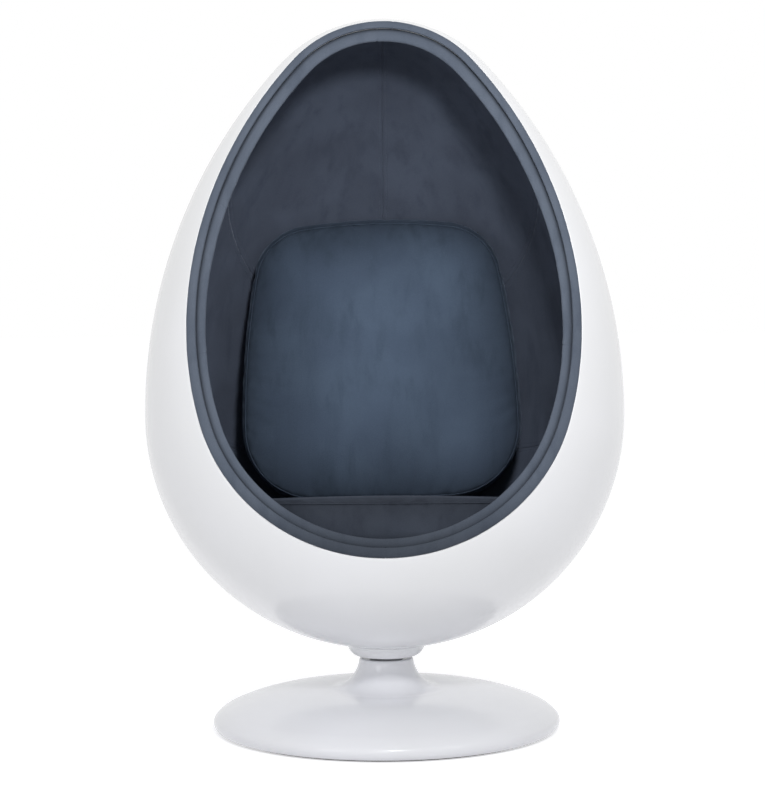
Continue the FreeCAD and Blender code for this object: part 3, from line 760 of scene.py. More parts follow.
@dataclass
class Lining:
    """Foam and five sewn velvet panels on the inside of the egg, with topstitched seams."""

    depth: float = 0.022
    foam_back: float = 0.0065
    foam_face: float = 0.017
    foam_step: int = 4
    cloth: float = 0.0016
    front: float = -0.0114
    deck: float = -0.100
    turns: int = 400
    rows: int = 120
    groove: float = 0.0016
    groove_width: float = 0.0024
    stitch_offset: float = 0.0065
    stitch_dip: float = 0.0007
    stitch_width: float = 0.0013
    loops: tuple = (0.0012, 0.0026, 0.0050, 0.0065, 0.0080, 0.0105)
    thread: float = 0.0005
    stitch_length: float = 0.0042
    stitch_pitch: float = 0.0062

    def panels(self) -> dict[str, list[tuple[Plane, int]]]:
        """Each panel's seams, and the side of each seam that it lies on."""
        cut = {}
        for side in Side:
            word = side.name.lower()
            cut[f"lining_hood_{word}"] = [(HOOD_SEAM, 1)]
            cut[f"lining_side_{word}"] = [(HOOD_SEAM, -1), (BOWL_SEAM, 1)]
        cut["lining_bowl"] = [(BOWL_SEAM, -1)]
        return cut

    def seam_distances(self, points: Array, below_bowl: bool) -> list[Array]:
        """How far points lie from each seam that borders their panel."""
        distances = [HOOD_SEAM.height(points), BOWL_SEAM.height(points)]
        if not below_bowl:
            distances.append(points[:, 0])
        return distances

    def sink(self, points: Array, below_bowl: bool) -> Array:
        """Press seams and stitch lines into the foam, and let the cloth undulate.

        Each seam is a narrow bell-shaped groove, with a shallower one at each side where it is
        topstitched.

        Args:
            points: The panel's points.
            below_bowl: Whether it is the bowl panel, which has no seam in the middle.

        Returns:
            The points, moved along the egg's outward direction.
        """
        dip = 0.0009 * slow_noise(points, 0.23, 5) + 0.0004 * slow_noise(points, 0.07, 6)
        for distance in self.seam_distances(points, below_bowl):
            dip = dip + self.groove * np.exp(-(distance / self.groove_width) ** 2)
            beside = (np.abs(distance) - self.stitch_offset) / self.stitch_width
            dip = dip + self.stitch_dip * np.exp(-beside ** 2)
        return points + np.clip(dip, -0.001, 0.003)[:, None] * EGG.outward(points)

    def build(self, velvet: bpy.types.Material, foam: bpy.types.Material) -> None:
        """Make and dress the panels, the foam behind them and the stitches."""
        turn = np.linspace(0, 2 * np.pi, self.turns, endpoint=False)[None]
        dip = np.linspace(0, np.pi / 2, self.rows)[:, None]
        turns, dips = np.broadcast_arrays(turn, dip)
        wall = EGG.within(turns, dips, self.depth, self.front)
        faces = grid_faces(self.rows, self.turns)
        for name, seams in self.panels().items():
            self.panel(name, wall, faces, seams, velvet)
        self.foam(foam, turns, dips)
        self.stitches(velvet)

    def panel(self, name: str, wall: Array, faces: Array, seams: list[tuple[Plane, int]],
              velvet: bpy.types.Material) -> None:
        """Cut one panel out of the wall along its seams, sink the seams and give it its thickness."""
        piece = make_piece(name + "_cloth", wall, faces, merge=1e-6)
        bowl = name == "lining_bowl"
        cuts = [(np.array(plane.origin), plane.out * side) for plane, side in seams]
        if not bowl:
            cuts.append((np.zeros(3), ACROSS * (1 if name.endswith("right") else -1)))
        bottom = SEAT_PLANE.world(np.array([0.0, 0.0, self.deck]))
        work = bmesh.new()
        work.from_mesh(piece.data)
        for origin, inward in cuts + [(bottom, SEAT_PLANE.out)]:
            everything = work.verts[:] + work.edges[:] + work.faces[:]
            bmesh.ops.bisect_plane(work, geom=everything, dist=1e-7, plane_co=origin, plane_no=-inward,
                                   clear_outer=True)
        for origin, inward in cuts:
            for offset in self.loops:
                everything = work.verts[:] + work.edges[:] + work.faces[:]
                bmesh.ops.bisect_plane(work, geom=everything, dist=1e-6, plane_co=origin + inward * offset,
                                       plane_no=inward)
        work.to_mesh(piece.data)
        work.free()
        set_vertices(piece.data, self.sink(vertices_of(piece.data), bowl))
        self.face_sitter(piece.data)
        backing = piece.modifiers.new("backing", "SOLIDIFY")
        backing.thickness = self.cloth
        backing.offset = -1.0
        piece.data.shade_smooth()
        dress(piece, "egg", velvet, [name])

    def face_sitter(self, mesh: bpy.types.Mesh) -> None:
        """Turn every face towards the sitter, so that the backing grows away from them."""
        normals = np.empty(len(mesh.polygons) * 3, np.float32)
        centres = np.empty(len(mesh.polygons) * 3, np.float32)
        mesh.polygons.foreach_get("normal", normals)
        mesh.polygons.foreach_get("center", centres)
        outward = EGG.outward(centres.reshape(-1, 3).astype(float))
        if (normals.reshape(-1, 3) * outward).sum() > 0:
            mesh.flip_normals()

    def foam(self, finish: bpy.types.Material, turns: Array, dips: Array) -> None:
        """Foam layer in two halves between the shell and the cloth."""
        turns, dips = turns[::self.foam_step, ::self.foam_step], dips[::self.foam_step, ::self.foam_step]
        outer = EGG.within(turns, dips, self.foam_back, self.front)
        inner = EGG.within(turns, dips, self.foam_face, self.front)
        points = np.concatenate([outer[::-1], inner])
        for side in Side:
            word = side.name.lower()
            piece = make_piece(f"foam_{word}_half", points, grid_faces(len(points), points.shape[1]), 1e-6)
            work = bmesh.new()
            work.from_mesh(piece.data)
            bottom = SEAT_PLANE.world(np.array([0.0, 0.0, self.deck]))
            for origin, inward in ((np.zeros(3), ACROSS * side.value), (bottom, SEAT_PLANE.out)):
                everything = work.verts[:] + work.edges[:] + work.faces[:]
                cut = bmesh.ops.bisect_plane(work, geom=everything, dist=1e-7, plane_co=origin,
                                             plane_no=-inward, clear_outer=True)
                edges = [item for item in cut["geom_cut"] if isinstance(item, bmesh.types.BMEdge)]
                bmesh.ops.edgeloop_fill(work, edges=edges)
            bmesh.ops.triangulate(work, faces=[face for face in work.faces if len(face.verts) > 4])
            bmesh.ops.recalc_face_normals(work, faces=work.faces)
            work.to_mesh(piece.data)
            work.free()
            dress(piece, "egg", finish, [f"foam_{word}"])

    def seam_path(self, plane: Optional[Plane], side: int, offset: float, low: float, high: float) -> Array:
        """Evenly spaced points on the wall along a seam.

        The wall is cut by the seam's plane moved sideways by the offset; bearings in that plane are
        turned into points by rays from the axis.

        Args:
            plane: The seam's plane, or none for the seam in the middle of the back.
            side: Which way round it runs.
            offset: How far beside the seam.
            low: First bearing, or the lowest height of the middle seam.
            high: Last bearing, or the highest height of the middle seam.

        Returns:
            Points a stitch pitch apart.
        """
        share = np.linspace(0, 1, 2000)
        if plane is None:
            height = low + (high - low) * share
            origin = np.stack([offset + 0 * height, 0 * height, height], -1)
            direction = np.broadcast_to(BACK, origin.shape)
        else:
            bearing = np.radians(low + (high - low) * share)
            centre = np.array([0.0, 0.0, plane.origin[2] + plane.origin[1] * math.tan(
                math.radians(-plane.angle))])
            origin = np.broadcast_to(centre + plane.out * offset, (len(share), 3))
            direction = side * np.sin(bearing)[:, None] * ACROSS + np.cos(bearing)[:, None] * plane.along
        points = EGG.cast(origin, direction, np.full(len(share), self.depth))
        run = np.concatenate([[0], np.cumsum(np.linalg.norm(np.diff(points, axis=0), axis=1))])
        stops = np.arange(0, run[-1], self.stitch_pitch)
        return np.stack([np.interp(stops, run, points[:, k]) for k in range(3)], -1)

    def stitches(self, velvet: bpy.types.Material) -> None:
        """Topstitches beside the seams: short six-sided rods, all in one mesh."""
        rods = []
        for beside in (-self.stitch_offset, self.stitch_offset):
            rods.append(self.seam_path(None, 1, beside, 0.46, 1.19))
            for side in (-1, 1):
                rods.append(self.seam_path(HOOD_SEAM, side, beside, 2, 120))
                rods.append(self.seam_path(BOWL_SEAM, side, beside, 60, 150))
        points, faces, count = [], [], 0
        for path in rods:
            path = path[LIP.height(path) < self.front - 0.002]
            path = self.sink(path, False)
            along = np.gradient(path, axis=0)
            along /= np.linalg.norm(along, axis=1, keepdims=True)
            inward = -EGG.outward(path)
            beside = np.cross(along, inward)
            angle = np.linspace(0, 2 * np.pi, 6, endpoint=False)
            ends = np.array([-0.5, -0.32, 0.32, 0.5]) * self.stitch_length
            girth = np.array([0.25, 1.0, 1.0, 0.25]) * self.thread
            circle = np.cos(angle)[:, None] * beside[:, None] + np.sin(angle)[:, None] * inward[:, None]
            lifted = path + 0.0003 * inward
            rod = (lifted[:, None, None] + ends[:, None, None] * along[:, None, None]
                   + girth[:, None, None] * circle[:, None])
            quads = grid_faces(4, 6)
            numbers = quads[None] + 24 * np.arange(len(path))[:, None, None] + count
            points.append(rod.reshape(-1, 3))
            faces.append(numbers.reshape(-1, 4))
            count += 24 * len(path)
        piece = make_piece("lining_topstitches", np.concatenate(points), np.concatenate(faces))
        dress(piece, "egg", velvet)


@dataclass
class RimTrim:
    """Padded edge of the opening: a flat band on the lip and a round roll inside it."""

    band_margin: float = -0.0008
    band_width: float = 0.0108
    band_height: float = 0.0084
    roll_width: float = 0.0125
    roll_depth: float = 0.0170
    groove: float = 0.0024
    lip_width: float = 0.0120
    top_swell: float = 0.0064
    groove_fade: float = 0.0036
    # painted shade towards the rim's lowest point, where less light reaches
    bottom_shade: float = 0.85
    bottom_shade_height: float = 0.080
    joint_loops: tuple = (-0.35, -0.14, 0.0, 0.14, 0.35)
    joint_dip: float = 0.10
    joint_width: float = 0.16
    joint_rise: float = 0.03
    joint_reach: float = 0.9
    turns: int = 720
    section: int = 28

    def ring(self, name: str, middle: tuple[float, float], half: tuple[float, float], power: float,
             joints: Sequence[float], sag: float = 0.0) -> bpy.types.Object:
        """Carry a rounded section round the opening.

        The section is a superellipse in depth and height. It swells and shrinks slowly along the
        way, and a joint is a narrow dip across it.

        Args:
            name: The piece's name.
            middle: Depth and height of the section's middle.
            half: Its half width and half height.
            power: The superellipse's power: two is an ellipse, more is squarer.
            joints: Angles of the cross seams, in degrees from the lowest point.
            sag: How much wider the section is at the top, where it hangs away from the lip.

        Returns:
            The piece.
        """
        turn = np.linspace(0, 2 * np.pi, self.turns, endpoint=False)
        for joint in joints:
            near = np.radians(joint) + np.radians(np.array(self.joint_loops))
            turn = np.concatenate([turn, near])
        turn = np.unique(np.mod(turn, 2 * np.pi).round(6))[:, None]
        angle = np.linspace(0, 2 * np.pi, self.section, endpoint=False)[None]
        cosine, sine = np.cos(angle), np.sin(angle)
        squared = (np.abs(cosine) ** power + np.abs(sine) ** power) ** (-1 / power)
        circle = np.concatenate([np.cos(turn), np.sin(turn), 0 * turn], 1)
        swell = 1 + 0.025 * slow_noise(circle, 0.9, 11)[:, None] + 0.012 * slow_noise(circle, 0.16, 12)[:, None]
        for joint in joints:
            gap = np.mod(turn - np.radians(joint) + np.pi, 2 * np.pi) - np.pi
            swell = swell * (1 - self.joint_dip * np.exp(-(gap / math.radians(self.joint_width)) ** 2)
                             + self.joint_rise * np.exp(-(gap / math.radians(self.joint_reach)) ** 2))
        hang = sag * np.clip((0.35 - np.cos(turn)) / 1.35, 0, 1) ** 1.3
        depth = middle[0] + hang / 2 - (half[0] + hang / 2) * cosine * squared * swell
        height = middle[1] + half[1] * sine * squared * np.where(sine > 0, swell, 1.0)
        rows = EGG.at_lip(turn, depth, height)
        rows = np.concatenate([rows, rows[:1]])
        return make_piece(name, rows, grid_faces(len(rows), self.section), merge=1e-7)

    def shade(self, piece: bpy.types.Object, edge: float, way: int) -> None:
        """Paint shade into the groove between band and roll, and paint the rim darker towards its lowest point.

        Args:
            piece: The band or the roll.
            edge: Depth of its side that faces the groove.
            way: 1 where the piece lies deeper than that side, -1 where it lies nearer.
        """
        points = vertices_of(piece.data)
        beside = np.clip(1 - way * (EGG.depth(points) - edge) / self.groove_fade, 0, 1) ** 1.5
        # painted shade, darker towards the rim's lowest point
        bottom_share = np.exp(-((points[:, 2] - points[:, 2].min()) / self.bottom_shade_height) ** 2)
        store_shade(piece.data, np.maximum(beside, self.bottom_shade * bottom_share))

    def build(self, velvet: bpy.types.Material) -> None:
        """Make and dress the band and the roll."""
        band = self.ring("rim_band_velvet", (self.band_margin + self.band_width / 2, self.band_height / 2),
                         (self.band_width / 2, self.band_height / 2), 2.3, (0.0, 178.0))
        self.shade(band, self.band_margin + self.band_width, -1)
        dress(band, "egg", velvet, ["rim_band"])
        front = self.band_height - self.groove
        roll = self.ring("rim_roll_velvet", (self.lip_width + self.roll_width / 2, front - self.roll_depth / 2),
                         (self.roll_width / 2, self.roll_depth / 2), 2.1, (83.0, 181.0, 279.0, 232.0),
                         self.top_swell)
        self.shade(roll, self.lip_width, 1)
        dress(roll, "egg", velvet, ["rim_roll"])


# Cushions


@dataclass
class BoxedCushion:
    """A cushion of two panels and a border between them, on a grid without poles.

    Each panel is a square grid stretched over its outline. The border joins the two outlines. Cloth
    simulation then fills it, and its seams are drawn in afterwards.
    """

    name: str
    cells: int = 64
    border_rows: int = 12
    pressure: float = 4.0
    frames: int = 20
    cap: float = 0.022
    slack: float = -0.012
    seam_dip: float = 0.0016
    seam_reach: float = 0.006
    welt: float = 0.0009
    welt_shade: float = 0.78
    shade_reach: float = 0.075
    seams: list[Array] = field(default_factory=list)
    paths: list[Array] = field(default_factory=list)

    def ring_numbers(self) -> Array:
        """Numbers of a panel's edge points, in order round it from its first corner."""
        side = self.cells + 1
        low = np.arange(self.cells)
        right = low * side + self.cells
        top = side * self.cells + self.cells - low
        left = (self.cells - low) * side
        return np.concatenate([low, right, top, left])

    def patch(self, outline: Array) -> Array:
        """Stretch a square grid over an outline by blending its four sides.

        Args:
            outline: Four times the cells in points, its corners evenly spaced in number.

        Returns:
            Points of the grid, row by row.
        """
        n = self.cells
        loop = np.concatenate([outline, outline[:1]])
        bottom, right = loop[:n + 1], loop[n:2 * n + 1]
        top, left = loop[2 * n:3 * n + 1][::-1], loop[3 * n:4 * n + 1][::-1]
        a = np.linspace(0, 1, n + 1)[None, :, None]
        b = np.linspace(0, 1, n + 1)[:, None, None]
        sides = (1 - b) * bottom[None] + b * top[None] + (1 - a) * left[:, None] + a * right[:, None]
        corners = ((1 - a) * (1 - b) * bottom[0] + a * (1 - b) * bottom[-1] + (1 - a) * b * top[0]
                   + a * b * top[-1])
        return sides - corners

    def crown(self) -> Array:
        """A panel's rise over its grid, from zero at its edge to one in the middle."""
        line = 1 - np.abs(np.linspace(-1, 1, self.cells + 1)) ** 2.6
        return (line[:, None] * line[None]) ** 0.62

    def assemble(self, front: Array, rows: Array, back: Array) -> bpy.types.Object:
        """Join two panel grids and the border's inner rows into one closed mesh.

        Args:
            front: The first panel's points.
            rows: The border's rows between the panels.
            back: The second panel's points.

        Returns:
            The piece.
        """
        size, ring = (self.cells + 1) ** 2, self.ring_numbers()
        points = np.concatenate([front.reshape(-1, 3), rows.reshape(-1, 3), back.reshape(-1, 3)])
        inner = size + np.arange(rows.shape[0] * rows.shape[1]).reshape(rows.shape[:2])
        loops = np.concatenate([ring[None], inner, ring[None] + size + inner.size])
        here, below = loops[:-1], loops[1:]
        border = np.stack([here, np.roll(here, -1, 1), np.roll(below, -1, 1), below], -1).reshape(-1, 4)
        panel = grid_faces(self.cells + 1, self.cells + 1, closed=False)
        faces = np.concatenate([panel, border, panel + size + inner.size])
        self.seams = [loops[0], loops[-1]]
        return make_piece(self.name, points, faces)

    def fill(self, piece: bpy.types.Object, settle: Callable[[Array], Array]) -> None:
        """Fill the cushion by cloth simulation, with its seams held, and cap how far a point may move.

        Args:
            piece: The cushion.
            settle: Moves points back into the room that the cushion has.
        """
        start = vertices_of(piece.data)
        held = piece.vertex_groups.new(name="seams")
        held.add([int(v) for v in np.concatenate(self.seams)], 1.0, "REPLACE")
        modifier = piece.modifiers.new("filling", "CLOTH")
        cloth = modifier.settings
        cloth.quality = 6
        cloth.mass = 0.25
        cloth.tension_stiffness = cloth.compression_stiffness = 12
        cloth.shear_stiffness = 6
        cloth.bending_stiffness = 1.2
        cloth.air_damping = 4
        cloth.use_pressure = True
        cloth.uniform_pressure_force = self.pressure
        cloth.shrink_min = self.slack
        cloth.vertex_group_mass = held.name
        cloth.effector_weights.gravity = 0
        modifier.collision_settings.use_collision = False
        scene = bpy.context.scene
        for frame in range(1, self.frames + 1):
            scene.frame_set(frame)
        filled = piece.evaluated_get(bpy.context.evaluated_depsgraph_get())
        moved = vertices_of(filled.data) - start
        length = np.linalg.norm(moved, axis=1, keepdims=True)
        start = start + moved * np.minimum(1, self.cap / np.maximum(length, 1e-9))
        LOG.info("%s: filled, farthest point moved %.1f mm", piece.name, length.max() / MM)
        piece.modifiers.remove(modifier)
        piece.vertex_groups.clear()
        scene.frame_set(1)
        set_vertices(piece.data, settle(start))
        paths = [vertices_of(piece.data)[seam] for seam in self.seams]
        subdivide(piece)
        points = settle(self.draw_in(vertices_of(piece.data), paths))
        set_vertices(piece.data, points)
        self.shade(piece.data, points, paths)
        self.paths = paths

    def seam_distance(self, points: Array, path: Array) -> Array:
        """How far points lie from the nearest of a seam's points."""
        closed = np.concatenate([path, (path + np.roll(path, -1, 0)) / 2])
        distance = np.full(len(points), np.inf)
        for part in np.array_split(closed, 24):
            distance = np.minimum(distance, np.linalg.norm(points[:, None] - part[None], axis=2).min(1))
        return distance

    def shade(self, mesh: bpy.types.Mesh, points: Array, paths: list[Array]) -> None:
        """Store painted shade beside the seams, where the faces turn from the light: all of it there, none in
        the middle.
        """
        first, second = (self.seam_distance(points, path) for path in paths)
        mottle = 1 + 0.18 * slow_noise(points, 0.19, 41)
        share = np.exp(-np.clip(np.minimum(first, second) * mottle / self.shade_reach, 0, 9) ** 1.3)
        store_shade(mesh, np.maximum(share, self.painted_shade_elsewhere(points, first + second)))

    def painted_shade_elsewhere(self, points: Array, both: Array) -> Array:
        """How much painted shade lies away from the seams.

        Args:
            points: The cover's points.
            both: The sum of each point's distances to the two seams.

        Returns:
            A share for each point.
        """
        return np.zeros(len(points))

    def draw_in(self, points: Array, paths: list[Array]) -> Array:
        """Draw the cover in along its seams, with small puckers beside them.

        A point moves towards the cushion's middle by a bell of its distance to the seam. Puckers are
        a quick wave along the seam that dies out a few centimetres away from it.

        Args:
            points: The cover's points.
            paths: The seams' points.

        Returns:
            The moved points.
        """
        middle = points.mean(0)
        inward = middle - points
        inward /= np.linalg.norm(inward, axis=1, keepdims=True)
        for number, path in enumerate(paths):
            distance = self.seam_distance(points, path)
            dip = self.seam_dip * np.exp(-(distance / self.seam_reach) ** 2)
            pucker = 0.0007 * slow_noise(points, 0.017, 31 + number) * np.exp(-(distance / 0.022) ** 2)
            points = points + (dip + pucker)[:, None] * inward
        return points

    def welts(self, body: str, slot: str, finish: bpy.types.Material, shown: Callable[[Array], Array]) -> None:
        """Lay a thin corded ridge along each seam, where the two cloths are turned in.

        Args:
            body: The body that the cushion rides on.
            slot: The cushion's material slot; not used.
            finish: Its material.
            shown: Says which of a seam's points are clear of what the cushion rests on.
        """
        for number, path in enumerate(self.paths):
            middle = path.mean(0)
            inward = (middle - path) / np.linalg.norm(middle - path, axis=1, keepdims=True)
            smooth = (np.roll(path, 1, 0) + 2 * path + np.roll(path, -1, 0)) / 4 + 0.0006 * inward
            points, faces = tube(smooth, self.welt, 8, closed=True)
            piece = make_piece(f"{self.name}_welt_{number + 1}", points, faces, merge=1e-7)
            points = shown(vertices_of(piece.data))
            set_vertices(piece.data, points)
            # painted shade on the welts, a little lighter than at the seams
            store_shade(piece.data, np.full(len(points), self.welt_shade))
            dress(piece, body, finish)


@dataclass
class BackCushion(BoxedCushion):
    """Loose back cushion: a rounded square, wider at its foot, that leans on the hood.

    It stands a little askew, and the middle of its border rides up where it leans on the hood.
    """

    name: str = "back_cushion_cover"
    width: float = 0.504
    height: float = 0.517
    border: float = 0.088
    rise: float = 0.016
    bulge: float = 0.005
    lift: float = 0.010
    border_shade: float = 0.9
    border_fade: float = 0.030
    widest: float = 0.130
    side_arc: float = 1.590
    foot_arc: float = 2.800
    top_arc: float = 1.120
    low_corner: float = 0.128
    high_corner: float = 0.103
    lean: float = 12.0
    slump: float = 1.3
    shift: float = -0.002
    foot: tuple = (0.0, 0.106, 0.40274)
    gap: float = 0.001
    seat_crown: float = 0.018
    seat_reach: float = 0.425
    seat_middle: float = 0.300

    def corner(self, first: Array, first_arc: float, second: Array, second_arc: float, radius: float,
               away: Array) -> Array:
        """Find a corner circle that lies inside two larger circles and touches both."""
        reach_a, reach_b = first_arc - radius, second_arc - radius
        span = second - first
        gap = np.linalg.norm(span)
        along = (reach_a ** 2 - reach_b ** 2 + gap ** 2) / (2 * gap)
        side = math.sqrt(reach_a ** 2 - along ** 2)
        unit = span / gap
        options = [first + unit * along + np.array([-unit[1], unit[0]]) * side * sign for sign in (1, -1)]
        return min(options, key=lambda point: float(np.linalg.norm(point - away)))

    def outline(self, grow: float) -> Array:
        """The cushion's outline from its lower left corner on, drawn outwards by a distance.

        Each point is the farthest one that lies in all of the outline's big circles and, near a
        corner, in the corner's own circle: rays from the middle are cut by the arc that they cross.

        Args:
            grow: How far outwards.

        Returns:
            Four times the cells in points, in the cushion's own plane.
        """
        half = self.width / 2
        side = np.array([half - self.side_arc, self.widest])
        foot, top = np.array([0.0, self.foot_arc]), np.array([0.0, self.height - self.top_arc])
        low = self.corner(foot, self.foot_arc, side, self.side_arc, self.low_corner, np.array([half, 0.0]))
        high = self.corner(top, self.top_arc, side, self.side_arc, self.high_corner,
                           np.array([half, self.height]))

        def arc(centre: Array, radius: float, start: float, end: float, count: int) -> Array:
            angle = np.linspace(start, end, count)
            return centre + (radius + grow) * np.stack([np.cos(angle), np.sin(angle)], -1)

        turn_low = math.atan2(*(low - foot)[::-1]), math.atan2(*(low - side)[::-1])
        turn_high = math.atan2(*(high - side)[::-1]), math.atan2(*(high - top)[::-1])
        right = np.concatenate([
            arc(foot, self.foot_arc, -math.pi / 2, turn_low[0], 200)[:-1],
            arc(low, self.low_corner, turn_low[0], turn_low[1], 200)[:-1],
            arc(side, self.side_arc, turn_low[1], turn_high[0], 400)[:-1],
            arc(high, self.high_corner, turn_high[0], turn_high[1], 200)[:-1],
            arc(top, self.top_arc, turn_high[1], math.pi / 2, 200)])
        run = np.concatenate([[0], np.cumsum(np.linalg.norm(np.diff(right, axis=0), axis=1))])
        low_turn = low + (self.low_corner + grow) * np.array([math.cos(sum(turn_low) / 2),
                                                              math.sin(sum(turn_low) / 2)])
        high_turn = high + (self.high_corner + grow) * np.array([math.cos(sum(turn_high) / 2),
                                                                 math.sin(sum(turn_high) / 2)])
        stops = [run[np.argmin(np.linalg.norm(right - point, axis=1))] for point in (low_turn, high_turn)]
        n = self.cells

        def sample(start: float, end: float, count: int) -> Array:
            at = np.linspace(start, end, count, endpoint=False)
            return np.stack([np.interp(at, run, right[:, k]) for k in range(2)], -1)

        mirror = np.array([-1.0, 1.0])
        below = sample(0, stops[0], n // 2)
        beside = sample(stops[0], stops[1], n)
        above = sample(stops[1], run[-1], n // 2)
        return np.concatenate([
            beside[:1] * mirror, below[:0:-1] * mirror, below, beside, above,
            right[-1:], above[:0:-1] * mirror, above[:1] * mirror, beside[:0:-1] * mirror])

    def painted_shade_elsewhere(self, points: Array, both: Array) -> Array:
        """Painted shade on the border, between the two seams."""
        return self.border_shade * np.exp(-((both - both.min()) / self.border_fade) ** 2)

    def settle(self, points: Array) -> Array:
        """Keep the cushion off the lining and off the seat, flat where it rests."""
        limit = 0.022 + self.gap
        depth = EGG.depth(points)
        points = points - np.maximum(limit - depth, 0)[:, None] * EGG.outward(points)
        radius = cap_radius(self.seat_reach, self.seat_crown)
        centre = SEAT_PLANE.world(np.array([0.0, self.seat_middle, self.seat_crown - radius]))
        away = points - centre
        distance = np.linalg.norm(away, axis=1)
        lift = np.maximum(radius + self.gap - distance, 0)
        return points + (lift / distance)[:, None] * away

    def build(self, velvet: bpy.types.Material) -> None:
        """Make, fill and dress the cushion."""
        plane = Plane(self.foot, 90 - self.lean)
        angle = math.radians(self.slump)

        def flat(grow: float, height: float, lift: float = 0.0) -> Array:
            across, along = self.outline(grow).T
            along = along + lift
            return np.stack([across * math.cos(angle) - along * math.sin(angle) + self.shift,
                             across * math.sin(angle) + along * math.cos(angle),
                             np.full(len(across), height)], -1)

        share = np.linspace(0, 1, self.border_rows + 1)[1:-1]
        rows = np.stack([flat(4 * self.bulge * s * (1 - s), -self.border * s, 4 * self.lift * s * (1 - s))
                         for s in share])
        front, back = self.patch(flat(0, 0)), self.patch(flat(0, -self.border))
        front[..., 2] += self.rise * self.crown()
        back[..., 2] -= self.rise * self.crown()
        piece = self.assemble(plane.world(front), plane.world(rows), plane.world(back))
        self.fill(piece, self.settle)
        dress(piece, "back_cushion", velvet, ["back_cover", "back_core"])
        self.welts("back_cushion", "cushion_velvet", velvet, self.settle)


@dataclass
class SeatCushion(BoxedCushion):
    """Loose seat cushion: a round pad in the bowl, cut straight at the front."""

    name: str = "seat_cushion_cover"
    cells: int = 88
    thickness: float = 0.100
    front: float = 0.300
    clearance: float = 0.003
    bow: float = 0.007
    rise: float = 0.018
    reach: float = 0.425
    soft_corner: float = 0.030
    front_shade: float = 0.95
    front_shade_start: float = 0.026
    front_shade_fade: float = 0.036
    pressure: float = 3.0
    cap: float = 0.010
    stops: Optional[Array] = None

    def outline(self, height: float) -> Array:
        """The cushion's outline at a height over its seam plane.

        Rays from the middle end at the lining or at the straight front, whichever is nearer, and a
        smooth minimum of the two rounds the corners between them.

        Args:
            height: Height over the seat's seam plane.

        Returns:
            Four times the cells in points, in the chair's coordinates.
        """
        bearing = np.linspace(-np.pi, np.pi, 4001)[:-1]
        origin = SEAT_PLANE.world(np.array([0.0, self.front, height]))
        level = np.sin(bearing)[:, None] * ACROSS - np.cos(bearing)[:, None] * SEAT_PLANE.along
        wall = EGG.cast(np.broadcast_to(origin, level.shape), level,
                        np.full(len(bearing), 0.022 + self.clearance))
        egg_reach = np.linalg.norm(wall - origin, axis=1)
        share = np.clip(-height / self.thickness, 0, 1)
        facing = np.maximum(np.cos(bearing), 1e-3)
        line_reach = (self.front + 4 * self.bow * share * (1 - share)) / facing
        soft = self.soft_corner
        blend = np.clip(0.5 + 0.5 * (line_reach - egg_reach) / soft, 0, 1)
        reach = line_reach * (1 - blend) + egg_reach * blend - soft * blend * (1 - blend)
        points = origin + reach[:, None] * level
        if self.stops is None:
            corner = np.argmin(np.abs(line_reach - egg_reach)[2000:]) + 2000
            run = np.concatenate([[0], np.cumsum(np.linalg.norm(np.diff(points, axis=0), axis=1))])
            turn = bearing[corner]
            marks = np.interp([-turn, turn, (turn + np.pi) / 2 + 0.35, np.pi], bearing, run)
            rear = marks[2]
            total = run[-1]
            n = self.cells
            stops = np.concatenate([np.linspace(marks[0], marks[1], n, endpoint=False),
                                    np.linspace(marks[1], rear, n, endpoint=False),
                                    np.linspace(rear, 2 * total - rear, n, endpoint=False),
                                    np.linspace(2 * total - rear, total + marks[0], n, endpoint=False)])
            self.stops = np.interp(np.mod(stops, total), run, bearing)
        return np.stack([np.interp(self.stops, bearing, points[:, k]) for k in range(3)], -1)

    def painted_shade_elsewhere(self, points: Array, both: Array) -> Array:
        """Painted shade on the front, darkest near the rim, where the roll shades it."""
        below = -self.front_shade_start - SEAT_PLANE.height(points)
        return self.front_shade * np.clip(below / self.front_shade_fade, 0, 1)

    def settle(self, points: Array) -> Array:
        """Keep the cushion inside the lining, on the deck and under the back cushion."""
        limit = 0.022 + 0.001
        points = points - np.maximum(limit - EGG.depth(points), 0)[:, None] * EGG.outward(points)
        radius = cap_radius(self.reach, self.rise)
        centre = SEAT_PLANE.world(np.array([0.0, self.front, self.rise - radius]))
        away = points - centre
        distance = np.linalg.norm(away, axis=1)
        points = points - (np.maximum(distance - radius, 0) / distance)[:, None] * away
        low = np.maximum(-self.thickness - SEAT_PLANE.height(points), 0)
        return points + low[:, None] * SEAT_PLANE.out

    def build(self, velvet: bpy.types.Material) -> None:
        """Make, fill and dress the cushion."""
        rows = np.stack([self.outline(-self.thickness * s)
                         for s in np.linspace(0, 1, self.border_rows + 1)])
        top, bottom = self.patch(rows[0]), self.patch(rows[-1])
        top = top + (0.75 * self.rise * self.crown())[..., None] * SEAT_PLANE.out
        piece = self.assemble(top, rows[1:-1], bottom)
        self.fill(piece, self.settle)
        dress(piece, "egg", velvet, ["seat_cover", "seat_core"])
        self.welts("egg", "cushion_velvet", velvet, self.settle)


# Studio


